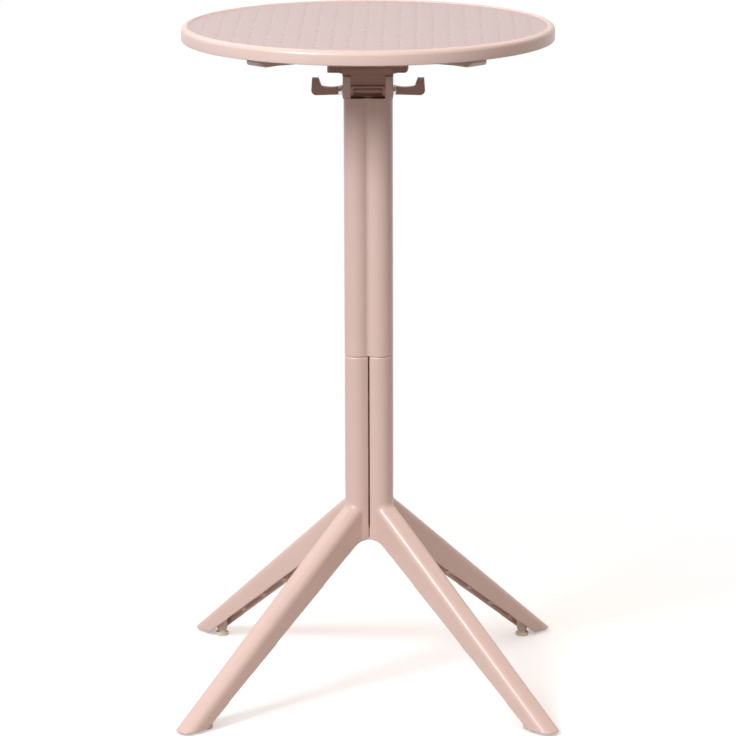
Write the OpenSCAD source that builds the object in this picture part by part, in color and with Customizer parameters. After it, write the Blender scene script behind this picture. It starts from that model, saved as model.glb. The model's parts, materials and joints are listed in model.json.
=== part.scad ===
// Bar table with a round tilting top, two bag hooks and four screw-in feet.
// The origin is on the floor under the middle of the top. +Z is up and the front is -Y.
// The hinge lies in front of the column, so the top folds forwards to stand upright.

/* [Top] */
// Height of the crown of the top above the floor
table_h = 1100; // [1000:5:1150]
// Diameter of the top
top_d = 600; // [580:5:700]
// Depth of the rim below the bead
rim_depth = 23; // [20:0.5:30]
// Thickness of the rim's wall
rim_wall = 5; // [3:0.5:7]
// Radius of the rim's upper edge
rim_round = 8; // [4:0.5:9]
// Width of the raised bead round the field
bead_w = 10; // [10:0.5:14]
// Height of the bead above the edge of the field
bead_rise = 2; // [1:0.5:3]
// Rise of the field from its edge to its middle
crown_rise = 3.5; // [1:0.5:5]
// Thickness of the field
field_t = 4; // [3:0.5:5]
// Thickness of the ribs under the field
rib_t = 3; // [2:0.5:4]
// Radius of the ring rib under the field
ring_rib_r = 160; // [140:5:190]

/* [Support arms] */
// Reach of each arm from the middle of the top
arm_reach = 250; // [240:1:262]
// Width of each arm
arm_w = 41; // [34:1:46]
// Depth of an arm near its end
arm_tip_depth = 23; // [20:0.5:26]
// Depth of an arm beside the hub
arm_root_depth = 30.5; // [28:0.5:36]
// Wall of the arms
arm_wall = 4; // [3:0.5:5]
// Height of the arms' hub
hub_h = 44.5; // [40:0.5:50]
// Size of the hub along X
hub_x = 125; // [122:1:127]
// Size of the hub along Y
hub_y = 94; // [90:1:96]

/* [Tilting head] */
// Size of the mounting plate along X
plate_x = 130; // [128:1:140]
// Size of the mounting plate along Y
plate_y = 98; // [94:1:104]
// Thickness of the mounting plate
plate_t = 8; // [7:0.5:10]
// Depth of the block below the plate
block_drop = 5; // [4:0.5:8]
// Width of the block
block_w = 82.5; // [81:0.5:86]
// Height of the block's underside above the hinge axis
hinge_drop = 27; // [25:0.5:30]
// Radius of the knuckle barrel
barrel_r = 10.8; // [10.2:0.1:11.4]
// Width of the knuckle between the ears
knuckle_w = 55; // [50:0.2:56]
// Thickness of the stop lip in front of the column
lip_t = 3; // [2:0.5:4]
// Width of the window's frame at each end of the knuckle
window_side = 4.3; // [3.5:0.1:7]
// Height of the window in the front of the knuckle
window_h = 12.6; // [10:0.2:14]
// Depth of the shadow groove under the lip
groove_depth = 8; // [4:0.5:10]

/* [Column] */
// Width of the column across two lobes
column_w = 79; // [77:0.5:83]
// Radius of each lobe
lobe_r = 22; // [21:0.5:23]
// Radius of the soft groove between two lobes
groove_r = 8; // [7:0.5:9]
// Wall of the upper column
column_wall = 4; // [3.5:0.5:4.5]
// Height of the seam between the legs and the upper column
seam_z = 559; // [490:1:630]
// Distance of the hinge axis in front of the column's middle
axis_forward = 27; // [26:0.5:28]
// Thickness of each of the cap's ears
ear_t = 12.6; // [11:0.2:13]

/* [Legs] */
// Distance of a leg's tip from the column's middle
leg_reach = 425.5; // [400:0.5:445]
// Slope of a leg's ridge
leg_slope = 38.75; // [37:0.25:41]
// Width of a leg
leg_w = 38.5; // [34:0.5:41]
// Radius of a leg's two upper edges
leg_round = 14.5; // [10:0.5:16]
// Depth of a leg beside the column, square to its ridge
leg_root_depth = 50; // [46:0.5:53]
// Depth of a leg at its tip, square to its ridge
leg_tip_depth = 26.5; // [24:0.5:29]
// Wall of the legs
leg_wall = 3.5; // [3:0.25:4]
// Height of the legs' soles above the floor
sole_z = 4; // [3.5:0.5:5]
// Drop from where a leg's ridge meets the column to the underside of the legs' hub
hub_drop = 63.5; // [58:0.5:68]
// Thickness of the hub's floor
hub_floor = 20; // [18:1:24]
// Half of the slit between two legs
slit = 0.9; // [0.5:0.1:1.2]
// Radius of the arch between the hub and a leg's underside
arch_r = 56; // [40:1:60]
// Thickness of the ribs inside a leg
leg_rib_t = 2.5; // [2:0.25:3]

/* [Feet] */
// Distance of each foot from its leg's tip
foot_inset = 59; // [52:0.5:64]
// Diameter of a foot's disc
glide_d = 22; // [20:0.5:24]
// Thickness of a foot's disc
glide_t = 6; // [5:0.5:6.5]
// Length of a foot's threaded stem above its neck
stem_l = 20; // [18:0.5:22]
// Length of the threaded insert
insert_l = 16; // [14:0.5:17]

/* [Hooks and release lever] */
// Distance of a hook's outer side from the middle
hook_reach = 91.5; // [88:0.5:96]
// Height of a hook's arm
hook_arm_h = 14; // [13:0.5:15]
// Height of a hook from its underside to its tip
hook_h = 27.5; // [25:0.5:31]
// Width of a hook's tip
hook_tip_w = 10.5; // [9:0.5:12]
// Thickness of a hook from front to back
hook_t = 12; // [11:0.5:12.5]
// Height of the release bar's section
bar_h = 10; // [9:0.5:10.5]
// Height and depth of the bar's ends inside the hooks
spigot_w = 7; // [6:0.5:8]
// Reach of the bar's ends from the middle
spigot_reach = 58; // [56:0.5:62]
// Distance of the lever's pivot behind the column's middle
pivot_back = 24; // [23:0.5:25]
// Angle that the lever lifts through
lift_angle = 15; // [12:1:15]

/* [Fasteners and tube] */
// Radius of the hinge bolt and of the tie rod
bolt_r = 4; // [3.5:0.1:4.2]
// Width across the flats of the bolt's head and the nuts
hex_w = 13; // [12:0.1:13.4]
// Height of the bolt's head
bolt_head_h = 5.3; // [4:0.1:6]
// Height of the thin nut on the hinge bolt
thin_nut_h = 4; // [3.5:0.1:5]
// Height of the tie rod's nuts
nut_h = 6.5; // [6:0.1:7]
// Thickness of the washers
washer_t = 1.6; // [1:0.1:1.8]
// Radius of the washers
washer_r = 8; // [7.9:0.1:8.4]
// Shank radius of the small screws
screw_r = 2.4; // [2:0.1:2.5]
// Radius of the lever's pivot pin
pin_r = 3; // [2.5:0.1:3.1]
// Outer radius of the core tube
core_r = 12.5; // [12:0.25:13]
// Wall of the core tube
core_wall = 1.5; // [1:0.25:2]
// Thickness of the hub plate
hub_plate_t = 4; // [3:0.5:5]
// Radius of the hub plate
hub_plate_r = 23; // [22:0.5:24]

/* [Hidden] */
$fn = 96;
resin = [0.87, 0.76, 0.72];
shaded_resin = [0.72, 0.59, 0.53];
steel = [0.78, 0.79, 0.80];
cream = [0.88, 0.83, 0.72];
brass = [0.80, 0.68, 0.40];

// Gaps: between moving pieces, of a running fit, round a screw, and between seated shells
move_gap = 0.3;
run_gap = 0.05;
screw_gap = 0.15;
seat_gap = 0.2;

// Levels of the top and what hangs from it
field_z = table_h - crown_rise;
bead_z = field_z + bead_rise;
rim_z = bead_z - rim_depth;
field_r = top_d / 2 - bead_w;
arm_inset = 4;
arm_z = rim_z + arm_inset;
head_z = arm_z - hub_h;
plate_z = head_z - plate_t;
block_z = plate_z - block_drop;
axis_z = block_z - hinge_drop;
axis_y = -axis_forward;
column_z = axis_z - barrel_r - move_gap;

// Lines across the column
half_column = column_w / 2;
lobe_c = half_column - lobe_r;
groove_bite = 0.05;
fold_gap = 0.5;
lip_z = axis_z + half_column + fold_gap - axis_forward;
panel_y = -half_column - lip_t;
lip_nose = 1.5;
lip_h = 2;
ear_in = knuckle_w / 2 + move_gap;
ear_out = ear_in + ear_t;
ear_front = half_column - 1;
cap_floor_drop = 8.7;
cap_floor_z = axis_z - barrel_r - cap_floor_drop;
cap_floor_t = 5.5;
cap_skirt = 40;
spigot_l = 26;
core_top = cap_floor_z - cap_floor_t;

// Lever and bar
pivot_drop = 5;
pivot_z = axis_z - pivot_drop;
bar_gap = 8.2;
bar_front = axis_y + barrel_r + bar_gap;
bar_w = hook_t;
bar_drop = 3.5;
bar_z = pivot_z - bar_drop;
tooth_h = 4;
lug_w = 6;
lug_x = 20;
lug_r = 6;

// Legs
foot_r = leg_reach - foot_inset;
hub_z = sole_z + (leg_reach - half_column) * tan(leg_slope) - hub_drop;
hub_top = hub_z + hub_floor;
ridge_cos = cos(leg_slope);
ridge_sin = sin(leg_slope);
root_run = 61;
ridge_l = (leg_reach - root_run) / ridge_cos;
leg_inner = 24;
core_clear = core_r + seat_gap;
recess_r = hub_plate_r + seat_gap;
rod_bore = bolt_r + 2 * screw_gap;
neck_h = 3.6;
boss_z = glide_t + neck_h + move_gap;
boss_r = 9;
insert_r = 6;
insert_z = boss_z + 1;

// Shared shapes

// Four lobes with soft grooves between them, with the lobes' radius grown or shrunk.
// Each groove bites slightly into its two lobes, so that they cross instead of only touching.
module column_section(grow = 0) {
    groove_c = lobe_c + sqrt(pow(lobe_r + grow + groove_r, 2) - pow(lobe_c, 2));
    difference() {
        union() {
            for (i = [-1, 1], j = [-1, 1]) translate([i * lobe_c, j * lobe_c]) circle(r = lobe_r + grow);
            polygon([
                [lobe_c, lobe_c], [0, groove_c], [-lobe_c, lobe_c], [-groove_c, 0],
                [-lobe_c, -lobe_c], [0, -groove_c], [lobe_c, -lobe_c], [groove_c, 0]
            ]);
        }
        for (turn = [0 : 90 : 270]) rotate(turn) translate([groove_c, 0])
            circle(r = groove_r + groove_bite);
    }
}

// A slice of the column's section between two heights
module column_slice(low, high, grow = 0) {
    translate([0, 0, low]) linear_extrude(high - low) column_section(grow);
}

// A rectangle with round corners, centred
module round_rect(x, y, r) {
    square([x - 2 * r, y], center = true);
    square([x, y - 2 * r], center = true);
    for (i = [-1, 1], j = [-1, 1]) translate([i * (x / 2 - r), j * (y / 2 - r)]) circle(r = r);
}

// A round bar along X between two places
module bar_x(from, to, r) {
    translate([from, 0, 0]) rotate([0, 90, 0]) cylinder(h = to - from, r = r);
}

// A hexagonal bar along X with two flats level
module hex_x(from, to) {
    translate([from, 0, 0]) rotate([0, 90, 0]) rotate(30)
        cylinder(h = to - from, d = hex_w / cos(30), $fn = 6);
}

// A screw that points up, with its head's underside at the origin
module screw_up(length, head_r, head_h, r = screw_r) {
    translate([0, 0, -head_h]) cylinder(h = head_h, r = head_r);
    cylinder(h = length, r = r);
}

// The place of the hinge axis, of the lever's pivot and of each diagonal
module at_axis() { translate([0, axis_y, axis_z]) children(); }
module at_pivot() { translate([0, pivot_back, pivot_z]) children(); }
module each_diagonal() { for (turn = [45 : 90 : 315]) rotate(turn) children(); }

// Top

arm_screw_places = [118, 222];
boss_top_r = 7;
rib_z = arm_z + 1;
rim_root = 4;

// Points of the crown from one of its steps to its edge, at a depth below the surface
crown_steps = 6;
crown_step = field_r / crown_steps;
function crown(r) = field_z + crown_rise * (1 - pow(r / field_r, 2));
function crown_line(first, depth) =
    [for (i = [first : crown_steps]) [i * crown_step, crown(i * crown_step) - depth]];
function backwards(p) = [for (i = [len(p) - 1 : -1 : 0]) p[i]];

module top_panel() color(resin) {
    rotate_extrude($fn = 180) difference() {
        union() {
            polygon(concat(crown_line(0, 0), backwards(crown_line(0, field_t))));
            translate([field_r - 1, field_z - field_t]) square([bead_w - rim_round + 1, field_t + bead_rise]);
            translate([top_d / 2 - rim_round, bead_z - rim_round]) circle(r = rim_round);
            translate([top_d / 2 - rim_wall, rim_z]) square([rim_wall, rim_depth - rim_round]);
            translate([field_r - 1, field_z - field_t])
                square([bead_w + 1 - rim_wall / 2, field_t - rim_round + bead_rise + rim_root]);
            translate([ring_rib_r, rib_z]) square([rib_t, crown(ring_rib_r) - field_t / 2 - rib_z]);
        }
        translate([top_d / 2 - rim_round * 2, bead_z - rim_round * 2 - 1])
            square([rim_round * 2 - rim_wall, rim_round * 2 + 1 - field_t - bead_rise]);
    }
    difference() {
        union() {
            for (turn = [22.5 : 45 : 337.5]) rotate([90, 0, turn])
                linear_extrude(rib_t, center = true) polygon(concat(
                    [[crown_step, rib_z]], crown_line(1, field_t / 2),
                    [[top_d / 2 - rim_wall / 2, field_z - field_t / 2], [top_d / 2 - rim_wall / 2, rib_z]]
                ));
            each_diagonal() for (place = arm_screw_places)
                translate([place, 0, arm_z])
                    cylinder(h = crown(place) - field_t / 2 - arm_z, r = boss_top_r);
        }
        each_diagonal() for (place = arm_screw_places)
            translate([place, 0, arm_z - 1]) cylinder(h = screw_grip + 2, r = screw_r + screw_gap);
    }
}

screw_grip = 9;
arm_head_h = 3;
arm_head_r = 4.5;

module top_screws() color(steel) each_diagonal() for (place = arm_screw_places)
    translate([place, 0, arm_floor_z(place) + arm_head_h])
        screw_up(arm_z + screw_grip - arm_floor_z(place) - arm_head_h, arm_head_r, arm_head_h);

// Underside of an arm at a distance from the middle
arm_knee = 215;
arm_root = 62;
function arm_floor_z(r) = arm_z - arm_tip_depth
    - (arm_root_depth - arm_tip_depth) * max(0, (arm_knee - r) / (arm_knee - arm_root));

// Side view of an arm, and of its channel when it is raised by the arm's wall
module arm_side(rise = 0, chamfer = 7) {
    top = arm_z + rise;
    polygon([
        [30, top], [30, arm_floor_z(arm_root) + rise], [arm_root, arm_floor_z(arm_root) + rise],
        [arm_knee, arm_floor_z(arm_knee) + rise], [arm_reach - chamfer, arm_floor_z(arm_knee) + rise],
        [arm_reach - rise, arm_floor_z(arm_knee) + chamfer], [arm_reach - rise, top]
    ]);
}

module top_spider() color(resin) difference() {
    post_r = 7;
    channel_start = 84;
    hub_floor_t = 6;
    union() {
        difference() {
            union() {
                each_diagonal() intersection() {
                    rotate([90, 0, 0]) linear_extrude(arm_w, center = true) arm_side();
                    translate([arm_reach / 2, 0, 0]) linear_extrude(arm_z) round_rect(arm_reach, arm_w, 8);
                }
                translate([0, 0, head_z]) linear_extrude(hub_h) round_rect(hub_x, hub_y, 8);
            }
            each_diagonal() intersection() {
                rotate([90, 0, 0]) linear_extrude(arm_w - 2 * arm_wall, center = true)
                    arm_side(arm_wall);
                translate([channel_start, -arm_w, 0]) cube([arm_reach, 2 * arm_w, table_h]);
            }
            translate([0, 0, head_z + hub_floor_t]) linear_extrude(hub_h)
                round_rect(hub_x - 2 * arm_wall, hub_y - 2 * arm_wall, 4);
        }
        each_diagonal() for (place = arm_screw_places)
            translate([place, 0, arm_floor_z(place)]) cylinder(h = arm_z - arm_floor_z(place), r = post_r);
        each_head_bolt() translate([0, 0, head_z]) cylinder(h = head_bolt_l, r = post_r);
    }
    each_diagonal() for (place = arm_screw_places) translate([place, 0, 0]) {
        cylinder(h = table_h, r = screw_r + screw_gap);
        translate([0, 0, arm_floor_z(place) - arm_root_depth])
            cylinder(h = arm_root_depth + arm_head_h, r = arm_head_r + screw_gap);
    }
    each_head_bolt() translate([0, 0, head_z - 1]) cylinder(h = head_bolt_l - 2, r = screw_r + screw_gap);
}

// Tilting head

head_bolt_x = plate_x / 2 - 11.5;
head_bolt_y = plate_y / 2 - 16;
head_bolt_l = 24;
head_bolt_head = 3.4;
head_bolt_head_r = 4.6;
head_bolt_spare = 5;
module each_head_bolt() {
    for (i = [-1, 1], j = [-1, 1]) translate([i * head_bolt_x, j * head_bolt_y, 0]) children();
}

module head_bolts() color(steel) each_head_bolt()
    translate([0, 0, plate_z + head_bolt_head])
        screw_up(plate_t - head_bolt_head + head_bolt_l - head_bolt_spare, head_bolt_head_r, head_bolt_head);

module mounting_plate() {
    wing_round = 6.5;
    shelf_w = block_w + 21;
    shelf_inset = 0.2;
    shelf_round = 9;
    intersection() {
        translate([0, 0, plate_z]) linear_extrude(plate_t) round_rect(plate_x, plate_y, 8);
        rotate([90, 0, 0]) linear_extrude(plate_y, center = true) {
            translate([-plate_x / 2, plate_z]) square([plate_x - wing_round, plate_t]);
            translate([0, plate_z + wing_round]) square([plate_x / 2, plate_t - wing_round]);
            translate([plate_x / 2 - wing_round, plate_z + wing_round]) circle(r = wing_round);
        }
    }
    rotate([90, 0, 0]) linear_extrude(plate_y / 2, center = true) intersection() {
        union() {
            translate([-shelf_w / 2 + shelf_round, block_z + shelf_inset])
                square([shelf_w - 2 * shelf_round, block_drop]);
            for (i = [-1, 1]) translate([i * (shelf_w / 2 - shelf_round), block_z + shelf_inset + shelf_round])
                circle(r = shelf_round);
        }
        translate([-shelf_w / 2, block_z]) square([shelf_w, block_drop + 1]);
    }
}

// The window lies across the axis, and the groove between its frame and the lip
window_top = axis_z + 5.3;
groove_low = window_top + 3;
window_core_r = 6.2;

module knuckle() {
    translate([-knuckle_w / 2, panel_y, lip_z])
        cube([knuckle_w, -panel_y + axis_y - barrel_r + 2, block_z - lip_z + 1]);
    translate([-knuckle_w / 2, panel_y - lip_nose, lip_z]) cube([knuckle_w, lip_nose + 1, lip_h]);
    difference() {
        at_axis() {
            bar_x(-knuckle_w / 2, knuckle_w / 2, barrel_r);
            translate([-knuckle_w / 2, -barrel_r + 0.1, 0])
                cube([knuckle_w, 2 * barrel_r - 0.2, hinge_drop + 1]);
        }
        difference() {
            translate([-knuckle_w / 2 + window_side, axis_y - barrel_r - 1, window_top - window_h])
                cube([knuckle_w - 2 * window_side, barrel_r + 1, window_h]);
            at_axis() bar_x(-knuckle_w / 2, knuckle_w / 2, window_core_r);
        }
        translate([-knuckle_w / 2 - 1, axis_y - barrel_r - 1, groove_low])
            cube([knuckle_w + 2, groove_depth + 1, lip_z - groove_low]);
    }
}

// The pocket in the block's underside leaves room for the lifted bar and its spring
pocket_side = 3;
pocket_back = 8;
pocket_h = 6;

module tilt_head() color(shaded_resin) difference() {
    union() {
        mounting_plate();
        translate([0, 0, block_z]) linear_extrude(plate_t + block_drop)
            round_rect(block_w, -2 * panel_y, 3);
        knuckle();
    }
    at_axis() {
        bar_x(-knuckle_w, knuckle_w, bolt_r + seat_gap);
        for (side = [0, 180]) rotate([0, 0, side]) bar_x(bush_in, knuckle_w, bush_r);
    }
    each_head_bolt() {
        translate([0, 0, plate_z - 1]) cylinder(h = plate_t + 2, r = screw_r + screw_gap);
        translate([0, 0, plate_z - 1]) cylinder(h = head_bolt_head + 1, r = head_bolt_head_r + screw_gap);
    }
    translate([-ear_in + pocket_side, bar_front, block_z - 1])
        cube([2 * (ear_in - pocket_side), pivot_back + pocket_back - bar_front, pocket_h + 1]);
}

bush_r = 5.5;
bush_in = knuckle_w / 2 - window_side;

module hinge_bushes() color(cream) at_axis() for (side = [0, 180]) rotate([0, 0, side]) difference() {
    bar_x(bush_in, knuckle_w / 2, bush_r);
    bar_x(bush_in - 1, knuckle_w, bolt_r + run_gap);
}

// Cap at the top of the column

// Height that the bar's upper front edge reaches when the lever is lifted
bar_lift = (pivot_back - bar_front) * sin(lift_angle) + (bar_h - bar_drop) * cos(lift_angle);

module ear_side() {
    ear_r = hinge_drop - move_gap;
    intersection() {
        union() {
            translate([axis_y, axis_z]) circle(r = ear_r);
            translate([-ear_front, column_z]) square([2 * ear_front, axis_z - column_z]);
            translate([axis_y, axis_z]) square([ear_front - axis_y, ear_r]);
        }
        translate([-ear_front, column_z]) square([2 * ear_front, hinge_drop + axis_z - column_z]);
    }
}

module cap_body() {
    back_wall_t = 6.7;
    back_wall = ear_front - back_wall_t;
    column_slice(column_z - cap_skirt, cap_floor_z, -column_wall - seat_gap);
    intersection() {
        column_slice(cap_floor_z - 1, column_z, -column_wall - seat_gap);
        cap_rim(back_wall, cap_floor_z - 1, column_z);
    }
    intersection() {
        union() {
            for (side = [-1, 1]) translate([side * (ear_in + ear_out) / 2, 0, 0])
                rotate([90, 0, 90]) linear_extrude(ear_t, center = true) ear_side();
            cap_rim(back_wall, column_z, axis_z + hinge_drop - move_gap, ear_in);
        }
        translate([0, 0, column_z]) linear_extrude(hinge_drop + axis_z - column_z) {
            round_rect(2 * ear_out, 2 * ear_front, 6);
            translate([-ear_out, -ear_front]) square([2 * ear_out, ear_front]);
        }
    }
}

// The ground that the back wall covers, and the ears too where the wall is given its whole width
ground = 60;

module cap_rim(back_wall, low, high, wall_half = ground) {
    translate([0, 0, low]) linear_extrude(high - low) {
        translate([-wall_half, back_wall]) square([2 * wall_half, ear_front - back_wall]);
        if (wall_half > ear_out) for (side = [-1, 1])
            translate([side * (ear_in + ground / 2) - ground / 2, -ear_front]) square([ground, 2 * ear_front]);
    }
}

cap_wall = 4;
collar_l = 12;
collar_t = 3;
slot_front = 0.5;
slot_back = 3;

module column_cap() color(resin) difference() {
    union() {
        difference() {
            cap_body();
            column_slice(column_z - cap_skirt - 1, core_top, -column_wall - seat_gap - cap_wall);
        }
        translate([0, 0, core_top - collar_l]) cylinder(h = collar_l + 1, r = core_clear + collar_t);
    }
    translate([0, 0, core_top - collar_l - 1]) cylinder(h = collar_l + 1, r = core_clear);
    translate([0, 0, core_top - 1]) cylinder(h = cap_floor_t + 2, r = rod_bore);
    at_axis() bar_x(-ear_out - 1, ear_out + 1, bolt_r + 2 * run_gap);
    at_pivot() bar_x(-ear_out - 1, ear_out + 1, pin_r);
    translate([-ear_out - 1, bar_front - slot_front, bar_z - move_gap])
        cube([2 * ear_out + 2, slot_front + bar_w + slot_back, bar_drop + bar_lift + 2 * move_gap]);
}

// Hinge hardware

bolt_tip = 0.7;

module hinge_bolt() color(steel) at_axis() {
    hex_x(-ear_out - washer_t - bolt_head_h, -ear_out - washer_t);
    bar_x(-ear_out - washer_t - 1, ear_out + thin_nut_h + bolt_tip, bolt_r);
}

module hinge_washer() color(steel) at_axis() difference() {
    bar_x(-ear_out - washer_t, -ear_out, washer_r);
    bar_x(-ear_out - washer_t - 1, -ear_out + 1, bolt_r + run_gap);
}

module hinge_nut() color(steel) at_axis() difference() {
    hex_x(ear_out, ear_out + thin_nut_h);
    bar_x(ear_out - 1, ear_out + thin_nut_h + 1, bolt_r);
}

// Release lever and hooks

bar_overhang = 0.6;
bar_in_ear = ear_out + bar_overhang;
tooth_w = 18;
lug_h = 8;

module release_bar() color(shaded_resin) difference() {
    union() {
        translate([-bar_in_ear, bar_front, bar_z]) cube([2 * bar_in_ear, bar_w, bar_h]);
        translate([-spigot_reach, bar_front + (bar_w - spigot_w) / 2, bar_z + (bar_h - spigot_w) / 2])
            cube([2 * spigot_reach, spigot_w, spigot_w]);
        translate([-tooth_w / 2, axis_y + barrel_r + move_gap, axis_z - tooth_h])
            cube([tooth_w, bar_front - axis_y - barrel_r - move_gap + 1, tooth_h]);
        for (side = [-1, 1]) translate([side * (lug_x + lug_w / 2), 0, 0]) {
            at_pivot() bar_x(-lug_w / 2, lug_w / 2, lug_r);
            translate([-lug_w / 2, bar_front + 1, bar_z]) cube([lug_w, pivot_back - bar_front - 1, lug_h]);
        }
    }
    at_pivot() bar_x(-lug_x - lug_w - 1, lug_x + lug_w + 1, pin_r + run_gap);
    for (side = [-1, 1]) at_hook_screw(side)
        cylinder(h = 2 * hook_t, r = screw_r + screw_gap, center = true);
}

// The screws go in from the rear, and the hook's front face stays whole over them
hook_screw_x = 51;
hook_screw_head = 1.2;
hook_head_r = 4;
hook_face = 2.2;
hook_screw_spare = 0.5;
module at_hook_screw(side) {
    translate([side * hook_screw_x, bar_front + bar_w / 2, bar_z + bar_h / 2]) rotate([90, 0, 0]) children();
}

// Front view of the right hook: the arm's scooped upper edge, the round outer corner and the leaning tip
module hook_outline() {
    low = bar_z + bar_h / 2 - hook_arm_h / 2;
    arm_top = low + hook_arm_h;
    root = bar_in_ear;
    root_rise = 1.2;
    corner = 8;
    lean = 1.3;
    flare = 3.8;
    fillet = 3;
    inner = hook_reach - lean - hook_tip_w - flare;
    scoop_r = 60;
    scoop_dip = 1.6;
    scoop_x = (root + inner) / 2 + 1;
    difference() {
        polygon([
            [root, low + root_rise], [hook_reach - corner, low], [hook_reach - corner, arm_top],
            [root, arm_top + root_rise]
        ]);
        translate([scoop_x, arm_top + scoop_r - scoop_dip]) circle(r = scoop_r);
    }
    translate([hook_reach - corner, low + corner]) circle(r = corner);
    difference() {
        polygon([
            [inner - fillet, low + corner], [hook_reach, low + corner], [hook_reach - lean, low + hook_h],
            [hook_reach - lean - hook_tip_w, low + hook_h], [inner, arm_top + fillet], [inner - fillet, arm_top]
        ]);
        translate([inner - fillet, arm_top + fillet]) circle(r = fillet);
    }
}

module hook_right() color(shaded_resin) difference() {
    translate([0, bar_front + bar_w / 2, 0]) rotate([90, 0, 0])
        linear_extrude(hook_t, center = true) hook_outline();
    translate([0, bar_front + (bar_w - spigot_w) / 2 - seat_gap, bar_z + (bar_h - spigot_w) / 2 - seat_gap])
        cube([spigot_reach + seat_gap, spigot_w + 2 * seat_gap, spigot_w + 2 * seat_gap]);
    at_hook_screw(1) translate([0, 0, -hook_t / 2 - 1]) {
        cylinder(h = hook_t + 1 - hook_face, r = screw_r + screw_gap);
        cylinder(h = 1 + hook_screw_head, r = hook_head_r + screw_gap);
    }
}

module hook_left() mirror([1, 0, 0]) hook_right();

module hook_screws() color(steel) for (side = [-1, 1]) at_hook_screw(side)
    translate([0, 0, -hook_t / 2 + hook_screw_head])
        screw_up(hook_t - hook_screw_head - hook_face - hook_screw_spare, hook_head_r, hook_screw_head);

module lever_pin() color(steel) at_pivot() bar_x(-ear_out + seat_gap, ear_out - seat_gap, pin_r);

// The spring's wire runs down to the cap's floor, six turns round the pin, and up over the bar
spring_turns = 6;
spring_r = 4.4;
spring_wire = 0.7;
spring_pitch = 1.8;
spring_steps = 10;
spring_x = 6.6;
spring_end_x = spring_x + (spring_turns + 0.7) * spring_pitch;
function spring_point(i) =
    let (turn = 360 * i / spring_steps, x = spring_x + i / spring_steps * spring_pitch)
    [x, pivot_back + spring_r * sin(turn + 180), pivot_z + spring_r * cos(turn + 180)];
spring_path = concat(
    [[spring_x, pivot_back - 12, cap_floor_z + 1.3]],
    [for (i = [0 : spring_turns * spring_steps + 5]) spring_point(i)],
    [[spring_end_x, pivot_back - 5, bar_z + bar_h + 1.4],
     [spring_end_x, bar_front + 4, bar_z + bar_h + spring_wire + 0.1]]
);
function unit(v) = v / norm(v);
function path_direction(p, i) = unit(p[min(i + 1, len(p) - 1)] - p[max(i - 1, 0)]);
function ring_points(p, i, r, sides) =
    let (d = path_direction(p, i), a = unit(cross(d, [1, 0.02, 0.01])), b = cross(d, a))
    [for (k = [0 : sides - 1]) p[i] + r * (cos(360 * k / sides) * a + sin(360 * k / sides) * b)];

module wire(p, r, sides = 6) {
    last = len(p) - 1;
    polyhedron(
        points = [for (i = [0 : last]) each ring_points(p, i, r, sides)],
        faces = concat(
            [[for (k = [0 : sides - 1]) k]],
            [[for (k = [sides - 1 : -1 : 0]) last * sides + k]],
            [for (i = [0 : last - 1], k = [0 : sides - 1]) let (n = (k + 1) % sides)
                each [[i * sides + n, i * sides + k, (i + 1) * sides + n],
                      [i * sides + k, (i + 1) * sides + k, (i + 1) * sides + n]]]
        )
    );
}

module lever_spring() color(steel) wire(spring_path, spring_wire);

// Column, core tube and tie rod

module upper_column() color(resin) difference() {
    column_slice(seam_z, column_z);
    column_slice(seam_z - 1, column_z + 1, -column_wall);
}

module core_tube() color(steel) translate([0, 0, hub_top]) difference() {
    cylinder(h = core_top - hub_top, r = core_r);
    translate([0, 0, -1]) cylinder(h = core_top - hub_top + 2, r = core_r - core_wall);
}

plate_low = hub_z + 1;
rod_tail = 1.5;
rod_tip = 0.6;
rod_low = plate_low - washer_t - nut_h - rod_tail;
rod_high = cap_floor_z + washer_t + nut_h + rod_tip;

module tie_rod() color(steel) translate([0, 0, rod_low]) cylinder(h = rod_high - rod_low, r = bolt_r);

module each_rod_end(below, above) {
    translate([0, 0, plate_low]) mirror([0, 0, 1]) translate([0, 0, below]) children();
    translate([0, 0, cap_floor_z + above]) children();
}

module rod_washers() color(steel) each_rod_end(0, 0) difference() {
    cylinder(h = washer_t, r = washer_r);
    translate([0, 0, -1]) cylinder(h = washer_t + 2, r = bolt_r + screw_gap);
}

module rod_nuts() color(steel) each_rod_end(washer_t, washer_t) difference() {
    cylinder(h = nut_h, d = hex_w / cos(30), $fn = 6);
    translate([0, 0, -1]) cylinder(h = nut_h + 2, r = bolt_r);
}

// Legs, each drawn in the front left quarter and its foot along +X before it is turned.
// The upright starts below the hub's underside, and the leg's side view trims it with the foot.

module quarter(low, high, gap) {
    translate([-100 - gap, -100 - gap, low]) cube([100, 100, high - low]);
}

module leg_upright() {
    relief = 1;
    relief_depth = 0.7;
    hub_slit = 0.15;
    hub_skirt = 10;
    intersection() {
        union() {
            column_slice(hub_z - hub_skirt, seam_z - relief);
            column_slice(seam_z - relief - 0.5, seam_z, -relief_depth);
            column_slice(seam_z - 1, seam_z + spigot_l, -column_wall - seat_gap);
        }
        union() {
            quarter(hub_z - hub_skirt - 1, hub_top, hub_slit);
            quarter(hub_top - 1, leg_top, slit);
        }
    }
}

module upright_hollow() {
    neck_wall = 3;
    neck = column_wall + seat_gap + neck_wall;
    neck_z = seam_z - 8;
    difference() {
        union() {
            intersection() {
                column_slice(hub_top, neck_z, -leg_wall);
                quarter(hub_top, seam_z, slit + leg_wall);
            }
            intersection() {
                column_slice(neck_z - 1, leg_top, -neck);
                quarter(neck_z - 1, leg_top, slit + leg_wall);
            }
        }
        translate([0, 0, hub_z]) cylinder(h = seam_z, r = core_clear + leg_wall);
    }
}

// Stands its children on the leg's tip, with +Z up the ridge and -X square to it, downwards
module along_ridge() {
    translate([leg_reach, 0, sole_z]) rotate([0, leg_slope - 90, 0]) children();
}

// Section of a leg, with its ridge at x = 0 and its two upper edges rounded
section_depth = 90;

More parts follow.
